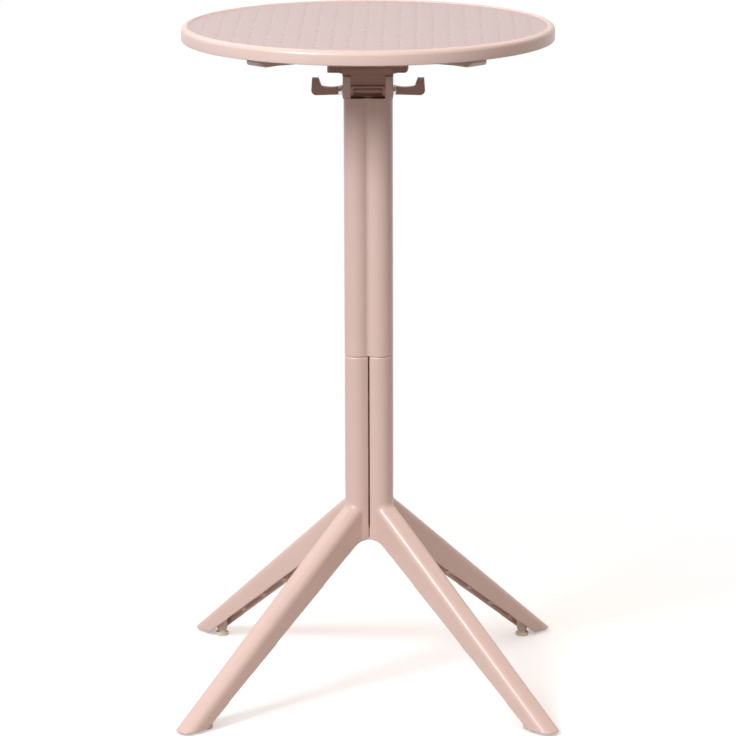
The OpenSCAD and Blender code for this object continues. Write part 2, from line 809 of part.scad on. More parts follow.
module leg_section(w, r, depth = section_depth) {
    translate([-depth, -w / 2]) square([depth - r, w]);
    translate([-r - 1, -w / 2 + r]) square([r + 1, w - 2 * r]);
    for (side = [-1, 1]) translate([-r, side * (w / 2 - r)]) circle(r = r);
}

// Points of a leg's underside, and the arch where it meets the hub
under_root = [leg_reach - ridge_l * ridge_cos - leg_root_depth * ridge_sin,
              sole_z + ridge_l * ridge_sin - leg_root_depth * ridge_cos];
under_tip = [leg_reach - leg_tip_depth * ridge_sin, sole_z - leg_tip_depth * ridge_cos];
under_slope = (under_tip[1] - under_root[1]) / (under_tip[0] - under_root[0]);
function under_x(z) = under_root[0] + (z - under_root[1]) / under_slope;
under_angle = atan(-under_slope);
arch_x = under_x(hub_z) - arch_r * tan(under_angle / 2);
arch_steps = 8;
beyond_tip = leg_reach + 30;
leg_top = seam_z + spigot_l + 1;

// Side view that cuts the undersides of the hub and of the foot in one go
module leg_side() {
    polygon(concat(
        [[-1, hub_z]],
        [for (i = [0 : arch_steps]) let (a = 90 - under_angle * i / arch_steps)
            [arch_x + arch_r * cos(a), hub_z - arch_r * (1 - sin(a))]],
        [[under_x(sole_z), sole_z], [beyond_tip, sole_z], [beyond_tip, leg_top], [-1, leg_top]]
    ));
}

module foot_outer() {
    along_ridge() translate([0, 0, -60]) linear_extrude(60 + (leg_reach - leg_inner) / ridge_cos)
        leg_section(leg_w, leg_round);
}

module foot_side(rise = 0) {
    translate([0, 0, rise]) rotate([90, 0, 0]) linear_extrude(column_w, center = true) leg_side();
}

heel_run = 26;
heel_x = foot_r + heel_run;

module foot_hollow() {
    intersection() {
        along_ridge() translate([-leg_wall, 0, 0]) linear_extrude(ridge_l + 10)
            leg_section(leg_w - 2 * leg_wall, leg_round - leg_wall);
        translate([root_run, -leg_w, -10]) cube([heel_x - root_run, 2 * leg_w, seam_z]);
    }
}

// Ribs that run from side to side and back inside the leg
module foot_ribs() {
    inside = leg_w - 2 * leg_wall;
    mouth = 7;
    rib_l = inside * sqrt(2) + 2;
    first = (leg_reach - heel_x) / ridge_cos + inside / 2;
    count = floor((heel_x - root_run) / ridge_cos / inside);
    intersection() {
        along_ridge() for (i = [0 : count - 1]) translate([-section_depth, 0, first + i * inside])
            rotate([i % 2 == 0 ? 45 : -45, 0, 0])
                translate([0, -rib_l / 2, -leg_rib_t / 2]) cube([section_depth - 1, rib_l, leg_rib_t]);
        along_ridge() translate([-1, 0, -20]) linear_extrude(ridge_l + 30)
            leg_section(leg_w - 2, leg_round - 1);
        foot_side(mouth);
        translate([root_run - 2, -leg_w, -10]) cube([heel_x - root_run + 4, 2 * leg_w, seam_z]);
    }
}

module foot_boss() {
    intersection() {
        foot_outer();
        translate([foot_r, 0, boss_z]) cylinder(h = 60, r = boss_r);
    }
}

hub_screw_r = 16.5;
hub_screw_l = 14;
hub_head_r = 4.2;
hub_head_h = 2.6;

module leg() color(resin) difference() {
    union() {
        difference() {
            intersection() {
                union() {
                    leg_upright();
                    rotate(225) intersection() {
                        foot_outer();
                        translate([leg_inner, -leg_w, 0]) cube([leg_reach, 2 * leg_w, leg_top]);
                    }
                }
                rotate(225) foot_side();
            }
            upright_hollow();
            rotate(225) foot_hollow();
        }
        rotate(225) {
            foot_ribs();
            foot_boss();
        }
    }
    translate([0, 0, hub_top]) cylinder(h = seam_z, r = core_clear);
    translate([0, 0, hub_z - 1]) {
        cylinder(h = seam_z, r = rod_bore);
        cylinder(h = hub_plate_t + 2, r = recess_r);
    }
    rotate(225) {
        translate([hub_screw_r, 0, hub_z]) cylinder(h = hub_screw_l + 2, r = screw_r + screw_gap);
        translate([foot_r, 0, boss_z - 1]) cylinder(h = stem_l + 4, r = bolt_r + 2 * screw_gap);
        translate([foot_r, 0, insert_z]) cylinder(h = insert_l, r = insert_r);
    }
}

module leg_front_left() leg();
module leg_front_right() rotate(90) leg();
module leg_rear_right() rotate(180) leg();
module leg_rear_left() rotate(270) leg();

module hub_plate() color(steel) translate([0, 0, plate_low]) difference() {
    cylinder(h = hub_plate_t, r = hub_plate_r);
    translate([0, 0, -1]) cylinder(h = hub_plate_t + 2, r = rod_bore);
    each_diagonal() translate([hub_screw_r, 0, -1]) cylinder(h = hub_plate_t + 2, r = screw_r + screw_gap);
}

module hub_screws() color(steel) each_diagonal()
    translate([hub_screw_r, 0, plate_low]) screw_up(hub_screw_l, hub_head_r, hub_head_h);

// Feet

module foot_inserts() color(brass) each_diagonal() translate([foot_r, 0, insert_z]) difference() {
    cylinder(h = insert_l, r = insert_r);
    translate([0, 0, -1]) cylinder(h = insert_l + 2, r = bolt_r);
}

module foot(turn) color(cream) rotate(turn) translate([foot_r, 0, 0]) {
    teeth = 18;
    tooth_r = 1.2;
    tooth_out = 0.4;
    neck_r = 6.5;
    difference() {
        cylinder(h = glide_t, r = glide_d / 2);
        for (i = [0 : teeth - 1]) rotate(i * 360 / teeth)
            translate([glide_d / 2 + tooth_out, 0, 1]) cylinder(h = glide_t, r = tooth_r, $fn = 24);
    }
    cylinder(h = glide_t + neck_h, r = neck_r);
    cylinder(h = glide_t + neck_h + stem_l, r = bolt_r - run_gap);
}

module foot_front_left() foot(225);
module foot_front_right() foot(315);
module foot_rear_right() foot(45);
module foot_rear_left() foot(135);

top_panel();
top_screws();
top_spider();
head_bolts();
tilt_head();
hinge_bushes();
column_cap();
hinge_bolt();
hinge_washer();
hinge_nut();
release_bar();
hook_left();
hook_right();
hook_screws();
lever_pin();
lever_spring();
upper_column();
core_tube();
tie_rod();
rod_washers();
rod_nuts();
leg_front_left();
leg_front_right();
leg_rear_right();
leg_rear_left();
hub_plate();
hub_screws();
foot_inserts();
foot_front_left();
foot_front_right();
foot_rear_right();
foot_rear_left();
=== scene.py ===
"""Looks of a tall bar table: a dimpled folding top, bag hooks, a lobed column and four splayed legs.

Everything is in metres, with the floor at z = 0 under the middle of the top. Sizes in the classes
are in millimetres, as a maker would give them, and MM turns them into metres.
"""

from __future__ import annotations

import json
import logging
import math
from dataclasses import dataclass, field
from enum import Enum
from typing import Callable, Sequence

import bmesh
import bpy
from mathutils import Matrix, Vector

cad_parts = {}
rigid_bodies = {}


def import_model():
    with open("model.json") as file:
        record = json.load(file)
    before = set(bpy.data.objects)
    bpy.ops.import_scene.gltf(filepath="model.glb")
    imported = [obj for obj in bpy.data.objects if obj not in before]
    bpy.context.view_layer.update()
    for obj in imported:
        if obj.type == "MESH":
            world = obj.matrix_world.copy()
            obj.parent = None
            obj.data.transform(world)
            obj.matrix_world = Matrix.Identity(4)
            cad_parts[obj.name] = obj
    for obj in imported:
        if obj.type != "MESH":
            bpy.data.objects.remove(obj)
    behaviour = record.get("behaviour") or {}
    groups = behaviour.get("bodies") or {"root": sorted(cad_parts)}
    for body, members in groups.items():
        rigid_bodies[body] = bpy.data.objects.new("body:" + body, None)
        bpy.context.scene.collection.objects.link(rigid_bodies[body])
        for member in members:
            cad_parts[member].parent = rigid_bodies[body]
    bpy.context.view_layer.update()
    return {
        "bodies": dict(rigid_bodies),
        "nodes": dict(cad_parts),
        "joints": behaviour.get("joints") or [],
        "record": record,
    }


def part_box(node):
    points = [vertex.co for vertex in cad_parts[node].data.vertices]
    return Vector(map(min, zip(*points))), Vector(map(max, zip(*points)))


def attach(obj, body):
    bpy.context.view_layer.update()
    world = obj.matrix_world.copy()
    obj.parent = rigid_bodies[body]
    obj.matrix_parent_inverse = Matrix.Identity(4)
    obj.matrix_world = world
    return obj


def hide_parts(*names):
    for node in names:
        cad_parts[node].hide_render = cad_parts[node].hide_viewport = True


MM = 0.001
LOG = logging.getLogger("bar_table")
Colour = tuple[float, float, float]
Point = tuple[float, float]
WHITE: Colour = (1.0, 1.0, 1.0)


class Slot(Enum):
    """Names of the record's material slots."""

    TOP = "resin_top"
    RESIN = "resin"
    FRAME = "resin_frame"
    STEEL = "steel"
    TUBE = "tube"
    GLIDE = "glide"
    INSERT = "insert"


class Body(Enum):
    """Names of the bodies that the joints move."""

    BASE = "base"
    TOP = "top"
    RELEASE = "release"
    FOOT_A = "foot_a"
    FOOT_B = "foot_b"
    FOOT_C = "foot_c"
    FOOT_D = "foot_d"


class Graph:
    """Adds nodes and links to a shader or geometry tree."""

    def __init__(self, tree: bpy.types.NodeTree) -> None:
        """Takes the tree that the nodes go into.

        Args:
            tree: an empty or a partly filled node tree.
        """
        self.tree = tree

    def add(self, kind: str, settings: dict | None = None, inputs: dict | None = None) -> bpy.types.Node:
        """Adds one node.

        Args:
            kind: the node's type, such as "ShaderNodeTexNoise".
            settings: properties that are set before the inputs, and a ramp's "stops".
            inputs: values or links for its sockets, by name or by number.

        Returns:
            The new node.
        """
        node = self.tree.nodes.new(kind)
        for key, value in (settings or {}).items():
            if key == "stops":
                self._set_stops(node.color_ramp, value)
            else:
                setattr(node, key, value)
        for key, value in (inputs or {}).items():
            self._feed(node.inputs[key], value)
        return node

    def _feed(self, socket: bpy.types.NodeSocket, value: object) -> None:
        """Links a socket to another one, or sets its value.

        Args:
            socket: the input socket.
            value: an output to link, a colour, or any other value that the socket takes.
        """
        if isinstance(value, Value):
            value = value.socket
        if isinstance(value, bpy.types.NodeSocket):
            self.tree.links.new(value, socket)
        elif isinstance(value, tuple) and socket.type == "RGBA" and len(value) == 3:
            socket.default_value = (*value, 1.0)
        else:
            socket.default_value = value

    @staticmethod
    def _set_stops(ramp: bpy.types.ColorRamp, stops: Sequence[tuple[float, float]]) -> None:
        """Gives a colour ramp its grey stops.

        Args:
            ramp: the ramp.
            stops: pairs of place and level.
        """
        while len(ramp.elements) > len(stops):
            ramp.elements.remove(ramp.elements[-1])
        while len(ramp.elements) < len(stops):
            ramp.elements.new(1.0)
        for element, (place, level) in zip(ramp.elements, stops):
            element.position = place
            element.color = (level, level, level, 1.0)

    def value(self, node: bpy.types.Node, output: int | str = 0) -> Value:
        """Wraps a node's output for arithmetic."""
        return Value(self, node.outputs[output])

    def length(self, vector: bpy.types.NodeSocket) -> Value:
        """Gives the length of a vector."""
        return self.value(self.add("ShaderNodeVectorMath", {"operation": "LENGTH"}, {0: vector}), "Value")


class Value:
    """A number in a node tree, with the usual operators."""

    def __init__(self, graph: Graph, socket: bpy.types.NodeSocket) -> None:
        """Wraps an output socket of the graph's tree."""
        self.graph = graph
        self.socket = socket

    def _math(self, operation: str, first: object, second: object = 0.0) -> Value:
        """Adds a Math node for one operation."""
        node = self.graph.add("ShaderNodeMath", {"operation": operation}, {0: first, 1: second})
        return self.graph.value(node)

    def __add__(self, other: object) -> Value:
        """Sum."""
        return self._math("ADD", self, other)

    def __radd__(self, other: object) -> Value:
        """Sum with a plain number first."""
        return self._math("ADD", other, self)

    def __sub__(self, other: object) -> Value:
        """Difference."""
        return self._math("SUBTRACT", self, other)

    def __rsub__(self, other: object) -> Value:
        """Difference from a plain number."""
        return self._math("SUBTRACT", other, self)

    def __mul__(self, other: object) -> Value:
        """Product."""
        return self._math("MULTIPLY", self, other)

    def __rmul__(self, other: object) -> Value:
        """Product with a plain number first."""
        return self._math("MULTIPLY", other, self)

    def __truediv__(self, other: object) -> Value:
        """Quotient."""
        return self._math("DIVIDE", self, other)

    def __rtruediv__(self, other: object) -> Value:
        """Quotient with a plain number first."""
        return self._math("DIVIDE", other, self)

    def above(self, level: object) -> Value:
        """One where the value is above the level, and zero elsewhere."""
        return self._math("GREATER_THAN", self, level)


@dataclass(frozen=True)
class Finish:
    """A material that is the same in kind over a whole piece."""

    name: str
    colour: Colour

    def material(self) -> bpy.types.Material:
        """Makes the material once and gives it again afterwards.

        Returns:
            The Blender material with this finish's name.
        """
        known = bpy.data.materials.get(self.name)
        if known:
            return known
        made = bpy.data.materials.new(self.name)
        made.use_nodes = True
        made.node_tree.nodes.clear()
        graph = Graph(made.node_tree)
        shader = graph.add("ShaderNodeBsdfPrincipled", None, {"Base Color": self.colour})
        graph.add("ShaderNodeOutputMaterial", None, {"Surface": shader.outputs[0]})
        self.dress(graph, shader)
        return made

    def dress(self, graph: Graph, shader: bpy.types.Node) -> None:
        """Adds the finish's own nodes to the shader; the plain finish has none."""

    @staticmethod
    def place(graph: Graph, stretch: tuple[float, float, float] = (1.0, 1.0, 1.0)) -> bpy.types.NodeSocket:
        """Gives the object's own coordinates, stretched along its axes.

        Args:
            graph: the material's graph.
            stretch: factor along each axis.

        Returns:
            The socket with the coordinates.
        """
        own = graph.add("ShaderNodeTexCoord").outputs["Object"]
        return graph.add("ShaderNodeMapping", None, {"Vector": own, "Scale": stretch}).outputs[0]

    @staticmethod
    def noise(graph: Graph, where: bpy.types.NodeSocket, scale: float, detail: float = 3.0) -> Value:
        """Gives a noise of about 0 to 1 at a scale in cycles per metre."""
        made = graph.add("ShaderNodeTexNoise", None, {"Vector": where, "Scale": scale, "Detail": detail})
        return graph.value(made)

    @staticmethod
    def blend(graph: Graph, factor: object, first: object, second: object) -> bpy.types.NodeSocket:
        """Mixes two colours by a factor."""
        mix = graph.add("ShaderNodeMix", {"data_type": "RGBA"}, {0: factor, 6: first, 7: second})
        return mix.outputs[2]

    @staticmethod
    def bump(graph: Graph, shader: bpy.types.Node, strength: float, depth: float, height: Value) -> None:
        """Feeds a height over the surface to the shader as a bump.

        Args:
            graph: the material's graph.
            shader: its Principled shader.
            strength: the bump's strength.
            depth: its depth in metres.
            height: the height, from 0 to 1.
        """
        made = graph.add("ShaderNodeBump", None, {"Strength": strength, "Distance": depth, "Height": height})
        graph.tree.links.new(made.outputs[0], shader.inputs["Normal"])


def shade(colour: Colour, by: float) -> Colour:
    """Gives a colour that is lighter or darker by a factor."""
    return tuple(min(1.0, part * by) for part in colour)


@dataclass(frozen=True)
class Resin(Finish):
    """Moulded resin: an even colour with faint flow clouds and a fine eroded grain.

    Scales are in cycles per metre, and depths in metres.
    """

    roughness: float = 0.37
    grain_depth: float = 0.00005
    cloud: float = 0.05
    cloud_scale: float = 14.0
    speck_scale: float = 620.0
    drift_scale: float = 45.0
    grain_scale: float = 1500.0
    ripple_scale: float = 260.0
    coat: float = 0.25
    coat_roughness: float = 0.16

    def dress(self, graph: Graph, shader: bpy.types.Node) -> None:
        """Adds flow clouds, specks, a roughness that drifts and the grain's bump.

        Args:
            graph: the material's graph.
            shader: its Principled shader.
        """
        where = self.place(graph)
        clouds = self.noise(graph, where, self.cloud_scale, 4.0)
        specks = self.noise(graph, where, self.speck_scale, 2.0)
        drift = self.noise(graph, self.place(graph, (1.0, 1.0, 0.25)), self.drift_scale)
        tone = clouds * 0.75 + specks * 0.25
        dark, light = shade(self.colour, 1.0 - self.cloud), shade(self.colour, 1.0 + self.cloud)
        graph.tree.links.new(self.blend(graph, tone, dark, light), shader.inputs["Base Color"])
        rough = drift * 0.10 + specks * 0.06 + (self.roughness - 0.08)
        graph.tree.links.new(rough.socket, shader.inputs["Roughness"])
        ripple = self.noise(graph, where, self.ripple_scale)
        grain = self.noise(graph, where, self.grain_scale, 2.0) + ripple * 1.6
        self.bump(graph, shader, 0.6, self.grain_depth, grain)
        shader.inputs["Coat Weight"].default_value = self.coat
        shader.inputs["Coat Roughness"].default_value = self.coat_roughness


@dataclass(frozen=True)
class Plated(Finish):
    """Zinc plated or drawn metal: fine turned marks and a faint mottle."""

    roughness: float = 0.28
    mottle_scale: float = 240.0
    mark_scale: float = 2600.0
    mark_depth: float = 0.00003

    def dress(self, graph: Graph, shader: bpy.types.Node) -> None:
        """Adds the mottle to the colour and the marks to roughness and bump.

        Args:
            graph: the material's graph.
            shader: its Principled shader.
        """
        shader.inputs["Metallic"].default_value = 1.0
        where = self.place(graph)
        mottle = self.noise(graph, where, self.mottle_scale)
        marks = self.noise(graph, where, self.mark_scale, 2.0)
        colour = self.blend(graph, mottle, shade(self.colour, 0.86), shade(self.colour, 1.06))
        graph.tree.links.new(colour, shader.inputs["Base Color"])
        rough = mottle * 0.16 + marks * 0.10 + (self.roughness - 0.13)
        graph.tree.links.new(rough.socket, shader.inputs["Roughness"])
        self.bump(graph, shader, 0.4, self.mark_depth, marks)


RESIN = Resin("rose_resin", (0.745, 0.538, 0.465))
# A lighter copy of the rose resin for the panel: painted light that stands for the extra light falling on the
# rim and bead from the sides.
RIM_PAINTED_LIGHT = Resin("rose_rim_painted_light", (0.790, 0.590, 0.520))
FIELD = Resin("rose_field", (0.545, 0.415, 0.408), roughness=0.50, grain_depth=0.00002, cloud=0.03)
# A darker copy of the rose resin for the tilting head, release bar and hooks: painted shade that stands for
# the deep shade under the top.
FRAME = Resin("rose_resin_painted_shade", (0.460, 0.256, 0.195), roughness=0.44, cloud=0.06)
NYLON = Resin("cream_nylon", (0.790, 0.700, 0.520), roughness=0.36, cloud=0.05, grain_depth=0.00003)
ZINC = Plated("zinc_plate", (0.700, 0.710, 0.725))
SPRING_WIRE = Plated("spring_wire", (0.520, 0.520, 0.530), roughness=0.34)
# Black lacquer on the core tube, partly its own black paint and partly painted shade: dark so that the slit
# shows the column's hollow as dark as shade.
TUBE = Resin("black_lacquer_and_hollow_shade", (0.030, 0.026, 0.024), roughness=0.40, grain_depth=0.00002, cloud=0.12)
BRASS = Plated("turned_brass", (0.720, 0.540, 0.250), roughness=0.30)


class Maker:
    """Mesh tools that every sub-assembly shares, with distances in millimetres and angles in degrees."""

    merge_gap = 0.002
    flat_angle = 0.5
    edge_angle = 28.0
    edge_steps = 2

    def __init__(self, frame: dict) -> None:
        self.frame = frame

    def report(self, piece: bpy.types.Object) -> None:
        """Logs a finished piece's name and size."""
        LOG.info("%s: %d faces", piece.name, len(piece.data.polygons))

    def dress(self, node: str, finish: Finish) -> None:
        """Gives a CAD node's object a finish without touching its mesh.

        Args:
            node: the CAD node.
            finish: its material.
        """
        shown = self.frame["nodes"][node]
        shown.data.materials.clear()
        shown.data.materials.append(finish.material())
        LOG.info("%s: the solid as it is", node)

    def link(self, name: str, mesh: bpy.types.Mesh) -> bpy.types.Object:
        """Makes an object from a mesh and puts it into the scene.

        Args:
            name: the object's name.
            mesh: its mesh.

        Returns:
            The object.
        """
        made = bpy.data.objects.new(name, mesh)
        bpy.context.scene.collection.objects.link(made)
        return made

    def from_bmesh(self, name: str, bm: bmesh.types.BMesh) -> bpy.types.Object:
        """Turns a bmesh into an object and frees it.

        Args:
            name: the object's name.
            bm: the bmesh, which is used up.

        Returns:
            The object.
        """
        mesh = bpy.data.meshes.new(name)
        bm.to_mesh(mesh)
        bm.free()
        return self.link(name, mesh)

    def place_piece(
        self, piece: bpy.types.Object, body: Body, slot: Slot, finish: Finish, replaces: Sequence[str] = ()
    ) -> bpy.types.Object:
        """Gives a finished piece its finish, body and the nodes that it stands for.

        Args:
            piece: the piece, with its place in its mesh.
            body: the body that it rides on.
            slot: the record's slot; not used.
            finish: its material.
            replaces: the CAD nodes that it stands for.

        Returns:
            The same piece.
        """
        if not any(piece.data.materials):
            piece.data.materials.clear()
            piece.data.materials.append(finish.material())
        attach(piece, body.value)
        if replaces:
            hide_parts(*replaces)
        self.report(piece)
        return piece

    def apply(self, piece: bpy.types.Object) -> bpy.types.Object:
        """Turns a piece's modifiers into a plain mesh.

        Args:
            piece: the piece with its modifiers.

        Returns:
            The same piece without them.
        """
        graph = bpy.context.evaluated_depsgraph_get()
        mesh = bpy.data.meshes.new_from_object(piece.evaluated_get(graph), depsgraph=graph)
        piece.modifiers.clear()
        old = piece.data
        piece.data = mesh
        bpy.data.meshes.remove(old)
        return piece

    def cut(
        self, piece: bpy.types.Object, other: bpy.types.Object, way: str = "DIFFERENCE"
    ) -> bpy.types.Object:
        """Cuts a piece with another one, which is used up.

        Args:
            piece: the piece that stays.
            other: the cutting shape.
            way: "DIFFERENCE", "INTERSECT" or "UNION".

        Returns:
            The cut piece.
        """
        boolean = piece.modifiers.new("cut", "BOOLEAN")
        boolean.operation, boolean.solver, boolean.object = way, "MANIFOLD", other
        self.apply(piece)
        bpy.data.objects.remove(other)
        return piece

    def joined(self, name: str, pieces: Sequence[bpy.types.Object]) -> bpy.types.Object:
        """Puts several meshes into one object.

        Args:
            name: the new object's name.
            pieces: the objects, which are used up.

        Returns:
            The new object.
        """
        bm = bmesh.new()
        for piece in pieces:
            bm.from_mesh(piece.data)
            bpy.data.objects.remove(piece)
        return self.from_bmesh(name, bm)

    def solids(self, node: str) -> list[tuple[Vector, Vector]]:
        """Finds the box of each separate solid of a node.

        Args:
            node: the CAD node.

        Returns:
            The lowest and highest corner of each solid, in millimetres.
        """
        bm = self.merged(node)
        left, found = set(bm.verts), []
        while left:
            stack = [left.pop()]
            points = []
            while stack:
                vert = stack.pop()
                points.append(vert.co / MM)
                for edge in vert.link_edges:
                    other = edge.other_vert(vert)
                    if other in left:
                        left.remove(other)
                        stack.append(other)
            found.append((
                Vector([min(p[k] for p in points) for k in range(3)]),
                Vector([max(p[k] for p in points) for k in range(3)]),
            ))
        bm.free()
        return sorted(found, key=lambda box: tuple(round(part, 1) for part in box[0]))

    def shade_smooth(self, piece: bpy.types.Object, angle: float) -> None:
        """Shades a piece smooth, with sharp edges above an angle.

        Args:
            piece: the piece.
            angle: the angle in degrees.
        """
        bm = bmesh.new()
        bm.from_mesh(piece.data)
        limit = math.radians(angle)
        for face in bm.faces:
            face.smooth = True
        for edge in bm.edges:
            edge.smooth = edge.is_manifold and edge.calc_face_angle(math.pi) < limit
        bm.to_mesh(piece.data)
        bm.free()

    def merged(self, node: str) -> bmesh.types.BMesh:
        """Copies a node's solids with their loose triangles joined.

        Args:
            node: the CAD node.

        Returns:
            The joined mesh.
        """
        bm = bmesh.new()
        bm.from_mesh(self.frame["nodes"][node].data)
        bmesh.ops.remove_doubles(bm, verts=bm.verts, dist=self.merge_gap * MM)
        return bm

    def clean_copy(self, node: str, name: str) -> bpy.types.Object:
        """Copies a node's solids with their flat faces made whole.

        Args:
            node: the CAD node.
            name: the copy's name.

        Returns:
            The copy.
        """
        bm = self.merged(node)
        limit = math.radians(self.flat_angle)
        bmesh.ops.dissolve_limit(bm, angle_limit=limit, verts=bm.verts, edges=bm.edges)
        return self.from_bmesh(name, bm)

    def softened(self, node: str, name: str, round_mm: float) -> bpy.types.Object:
        """Copies a node with its moulded edges rounded.

        Args:
            node: the CAD node.
            name: the copy's name.
            round_mm: width of the rounding.

        Returns:
            The rounded copy.
        """
        piece = self.clean_copy(node, name)
        bevel = piece.modifiers.new("edges", "BEVEL")
        bevel.limit_method = "ANGLE"
        bevel.angle_limit = math.radians(self.edge_angle)
        bevel.width = round_mm * MM
        bevel.segments = self.edge_steps
        bevel.miter_outer = "MITER_ARC"
        bevel.use_clamp_overlap = True
        weighted = piece.modifiers.new("normals", "WEIGHTED_NORMAL")
        weighted.keep_sharp = True
        for polygon in piece.data.polygons:
            polygon.use_smooth = True
        return self.apply(piece)

    def remoulded(self, node: str, name: str, voxel_mm: float, passes: int) -> bpy.types.Object:
        """Copies a node as an even skin whose edges and corners all run into each other softly.

        Args:
            node: the CAD node.
            name: the copy's name.
            voxel_mm: size of the skin's mesh.
            passes: rounds of smoothing.

        Returns:
            The soft copy.
        """
        piece = self.clean_copy(node, name)
        remesh = piece.modifiers.new("skin", "REMESH")
        remesh.mode = "VOXEL"
        remesh.voxel_size = voxel_mm * MM
        remesh.use_smooth_shade = True
        smooth = piece.modifiers.new("soften", "SMOOTH")
        smooth.factor, smooth.iterations = 0.5, passes
        return self.apply(piece)

    @staticmethod
    def open_tree(name: str, inputs: dict[str, str]) -> tuple[Graph, bpy.types.Node]:
        """Starts a geometry tree.

        Args:
            name: the tree's name.
            inputs: kind of each named input beside the geometry, such as "Float".

        Returns:
            The tree's graph and its input node.
        """
        tree = bpy.data.node_groups.new(name, "GeometryNodeTree")
        for label, kind in {"Geometry": "Geometry", **inputs}.items():
            tree.interface.new_socket(label, in_out="INPUT", socket_type=f"NodeSocket{kind}")
        tree.interface.new_socket("Geometry", in_out="OUTPUT", socket_type="NodeSocketGeometry")
        graph = Graph(tree)
        return graph, graph.add("NodeGroupInput")

    @staticmethod
    def close_tree(graph: Graph, result: bpy.types.NodeSocket, finish: Finish) -> bpy.types.NodeTree:
        """Ends a geometry tree with real meshes in place of instances, and one material.

        Args:
            graph: the tree's graph.
            result: the geometry that it has made.
            finish: the finish of all of it.

        Returns:
            The finished tree.
        """
        real = graph.add("GeometryNodeRealizeInstances", None, {"Geometry": result}).outputs[0]
        inputs = {"Geometry": real, "Material": finish.material()}
        dressed = graph.add("GeometryNodeSetMaterial", None, inputs)
        graph.add("NodeGroupOutput", None, {"Geometry": dressed.outputs[0]})
        return graph.tree

    def grown(
        self, piece: bpy.types.Object, tree: bpy.types.NodeTree, inputs: dict[str, object]
    ) -> bpy.types.Object:
        """Runs a geometry tree on a piece and keeps what it makes as a plain mesh.

        Args:
            piece: the piece that the tree starts from.
            tree: the geometry tree.
            inputs: values of the tree's named inputs.

        Returns:
            The same piece with its new mesh.
        """
        modifier = piece.modifiers.new("tree", "NODES")
        modifier.node_group = tree
        for item in tree.interface.items_tree:
            if item.in_out == "INPUT" and item.name in inputs:
                modifier[item.identifier] = inputs[item.name]
        return self.apply(piece)


def lathe(
    profile: Sequence[Point], turns: int, swell: Callable[[float, float, float], float] | None = None
) -> bmesh.types.BMesh:
    """Turns a profile round the Z axis.

    Args:
        profile: pairs of radius and height in millimetres, from the top's middle round to the underside's.
        turns: steps round the axis.
        swell: gives a radius from a point's radius, height and angle, for threads and teeth.

    Returns:
        A closed mesh, with its poles as fans.
    """
    bm = bmesh.new()
    rings: list[list[bmesh.types.BMVert]] = []
    angles = [2 * math.pi * k / turns for k in range(turns)]
    for radius, height in profile:
        if radius < 1e-6:
            rings.append([bm.verts.new((0.0, 0.0, height * MM))])
            continue
        reach = [swell(radius, height, a) if swell else radius for a in angles]
        rings.append([around(bm, r, height, a) for r, a in zip(reach, angles)])
    for above, below in zip(rings, rings[1:]):
        for k in range(turns):
            n = (k + 1) % turns
            if len(above) == 1:
                bm.faces.new((above[0], below[k], below[n]))
            elif len(below) == 1:
                bm.faces.new((above[k], below[0], above[n]))
            else:
                bm.faces.new((above[k], below[k], below[n], above[n]))
    bmesh.ops.recalc_face_normals(bm, faces=bm.faces)
    return bm


def around(bm: bmesh.types.BMesh, radius: float, height: float, angle: float) -> bmesh.types.BMVert:
    """Adds a point at a radius and a height in millimetres and an angle in radians."""
    return bm.verts.new((radius * MM * math.cos(angle), radius * MM * math.sin(angle), height * MM))


def hoop(section: Sequence[Point], turns: int) -> bmesh.types.BMesh:
    """Turns a closed section round the Z axis.

    Args:
        section: pairs of radius and height in millimetres.
        turns: steps round the axis.

    Returns:
        A closed ring.
    """
    bm = bmesh.new()
    rings = [[around(bm, r, z, 2 * math.pi * k / turns) for r, z in section] for k in range(turns)]
    for k, here in enumerate(rings):
        there = rings[(k + 1) % turns]
        for i in range(len(section)):
            n = (i + 1) % len(section)
            bm.faces.new((here[i], there[i], there[n], here[n]))
    bmesh.ops.recalc_face_normals(bm, faces=bm.faces)
    return bm


def bridged(first: Sequence[Sequence[float]], last: Sequence[Sequence[float]]) -> bmesh.types.BMesh:
    """Joins two outlines with as many points each into a closed block.

    Args:
        first: points in millimetres round one end.
        last: points in millimetres round the other end, in the same order.

    Returns:
        The block.
    """
    bm = bmesh.new()
    near, far = ([bm.verts.new(Vector(point) * MM) for point in outline] for outline in (first, last))
    bm.faces.new(near)
    bm.faces.new(far[::-1])
    for k, here in enumerate(near):
        n = (k + 1) % len(near)
        bm.faces.new((here, far[k], far[n], near[n]))
    bmesh.ops.recalc_face_normals(bm, faces=bm.faces)
    return bm


def arc(centre: Point, radius: float, start: float, end: float, steps: int) -> list[Point]:
    """Gives points on an arc.

    Args:
        centre: the arc's middle.
        radius: its radius.
        start: angle of its first point in degrees.
        end: angle of its last point in degrees.
        steps: steps between them.

    Returns:
        The points, with both ends.
    """
    angles = [math.radians(start + (end - start) * k / steps) for k in range(steps + 1)]
    return [(centre[0] + radius * math.cos(a), centre[1] + radius * math.sin(a)) for a in angles]


@dataclass(frozen=True)
class Thread:
    """A helical thread between two heights of a shank, in millimetres."""

    low: float
    high: float
    pitch: float = 1.25
    depth: float = 0.5

    def swell(self, radius: float, height: float, angle: float) -> float:
        """Cuts the thread into a radius, and lets it run out at both ends.

        Args:
            radius: the shank's radius.
            height: height on the shank.
            angle: angle round the shank in radians.

        Returns:
            The radius with the thread's groove taken off.
        """
        if not self.low < height < self.high:
            return radius
        phase = (height / self.pitch - angle / (2 * math.pi)) % 1.0
        fade = min(1.0, (height - self.low) / self.pitch, (self.high - height) / self.pitch)
        return radius - self.depth * fade * abs(2 * phase - 1)

    def heights(self) -> list[float]:
        """Gives the heights at which the thread is drawn, from the top down, five to each turn."""
        count = round((self.high - self.low) / self.pitch * 5)
        return [self.high - (self.high - self.low) * k / count for k in range(count + 1)]


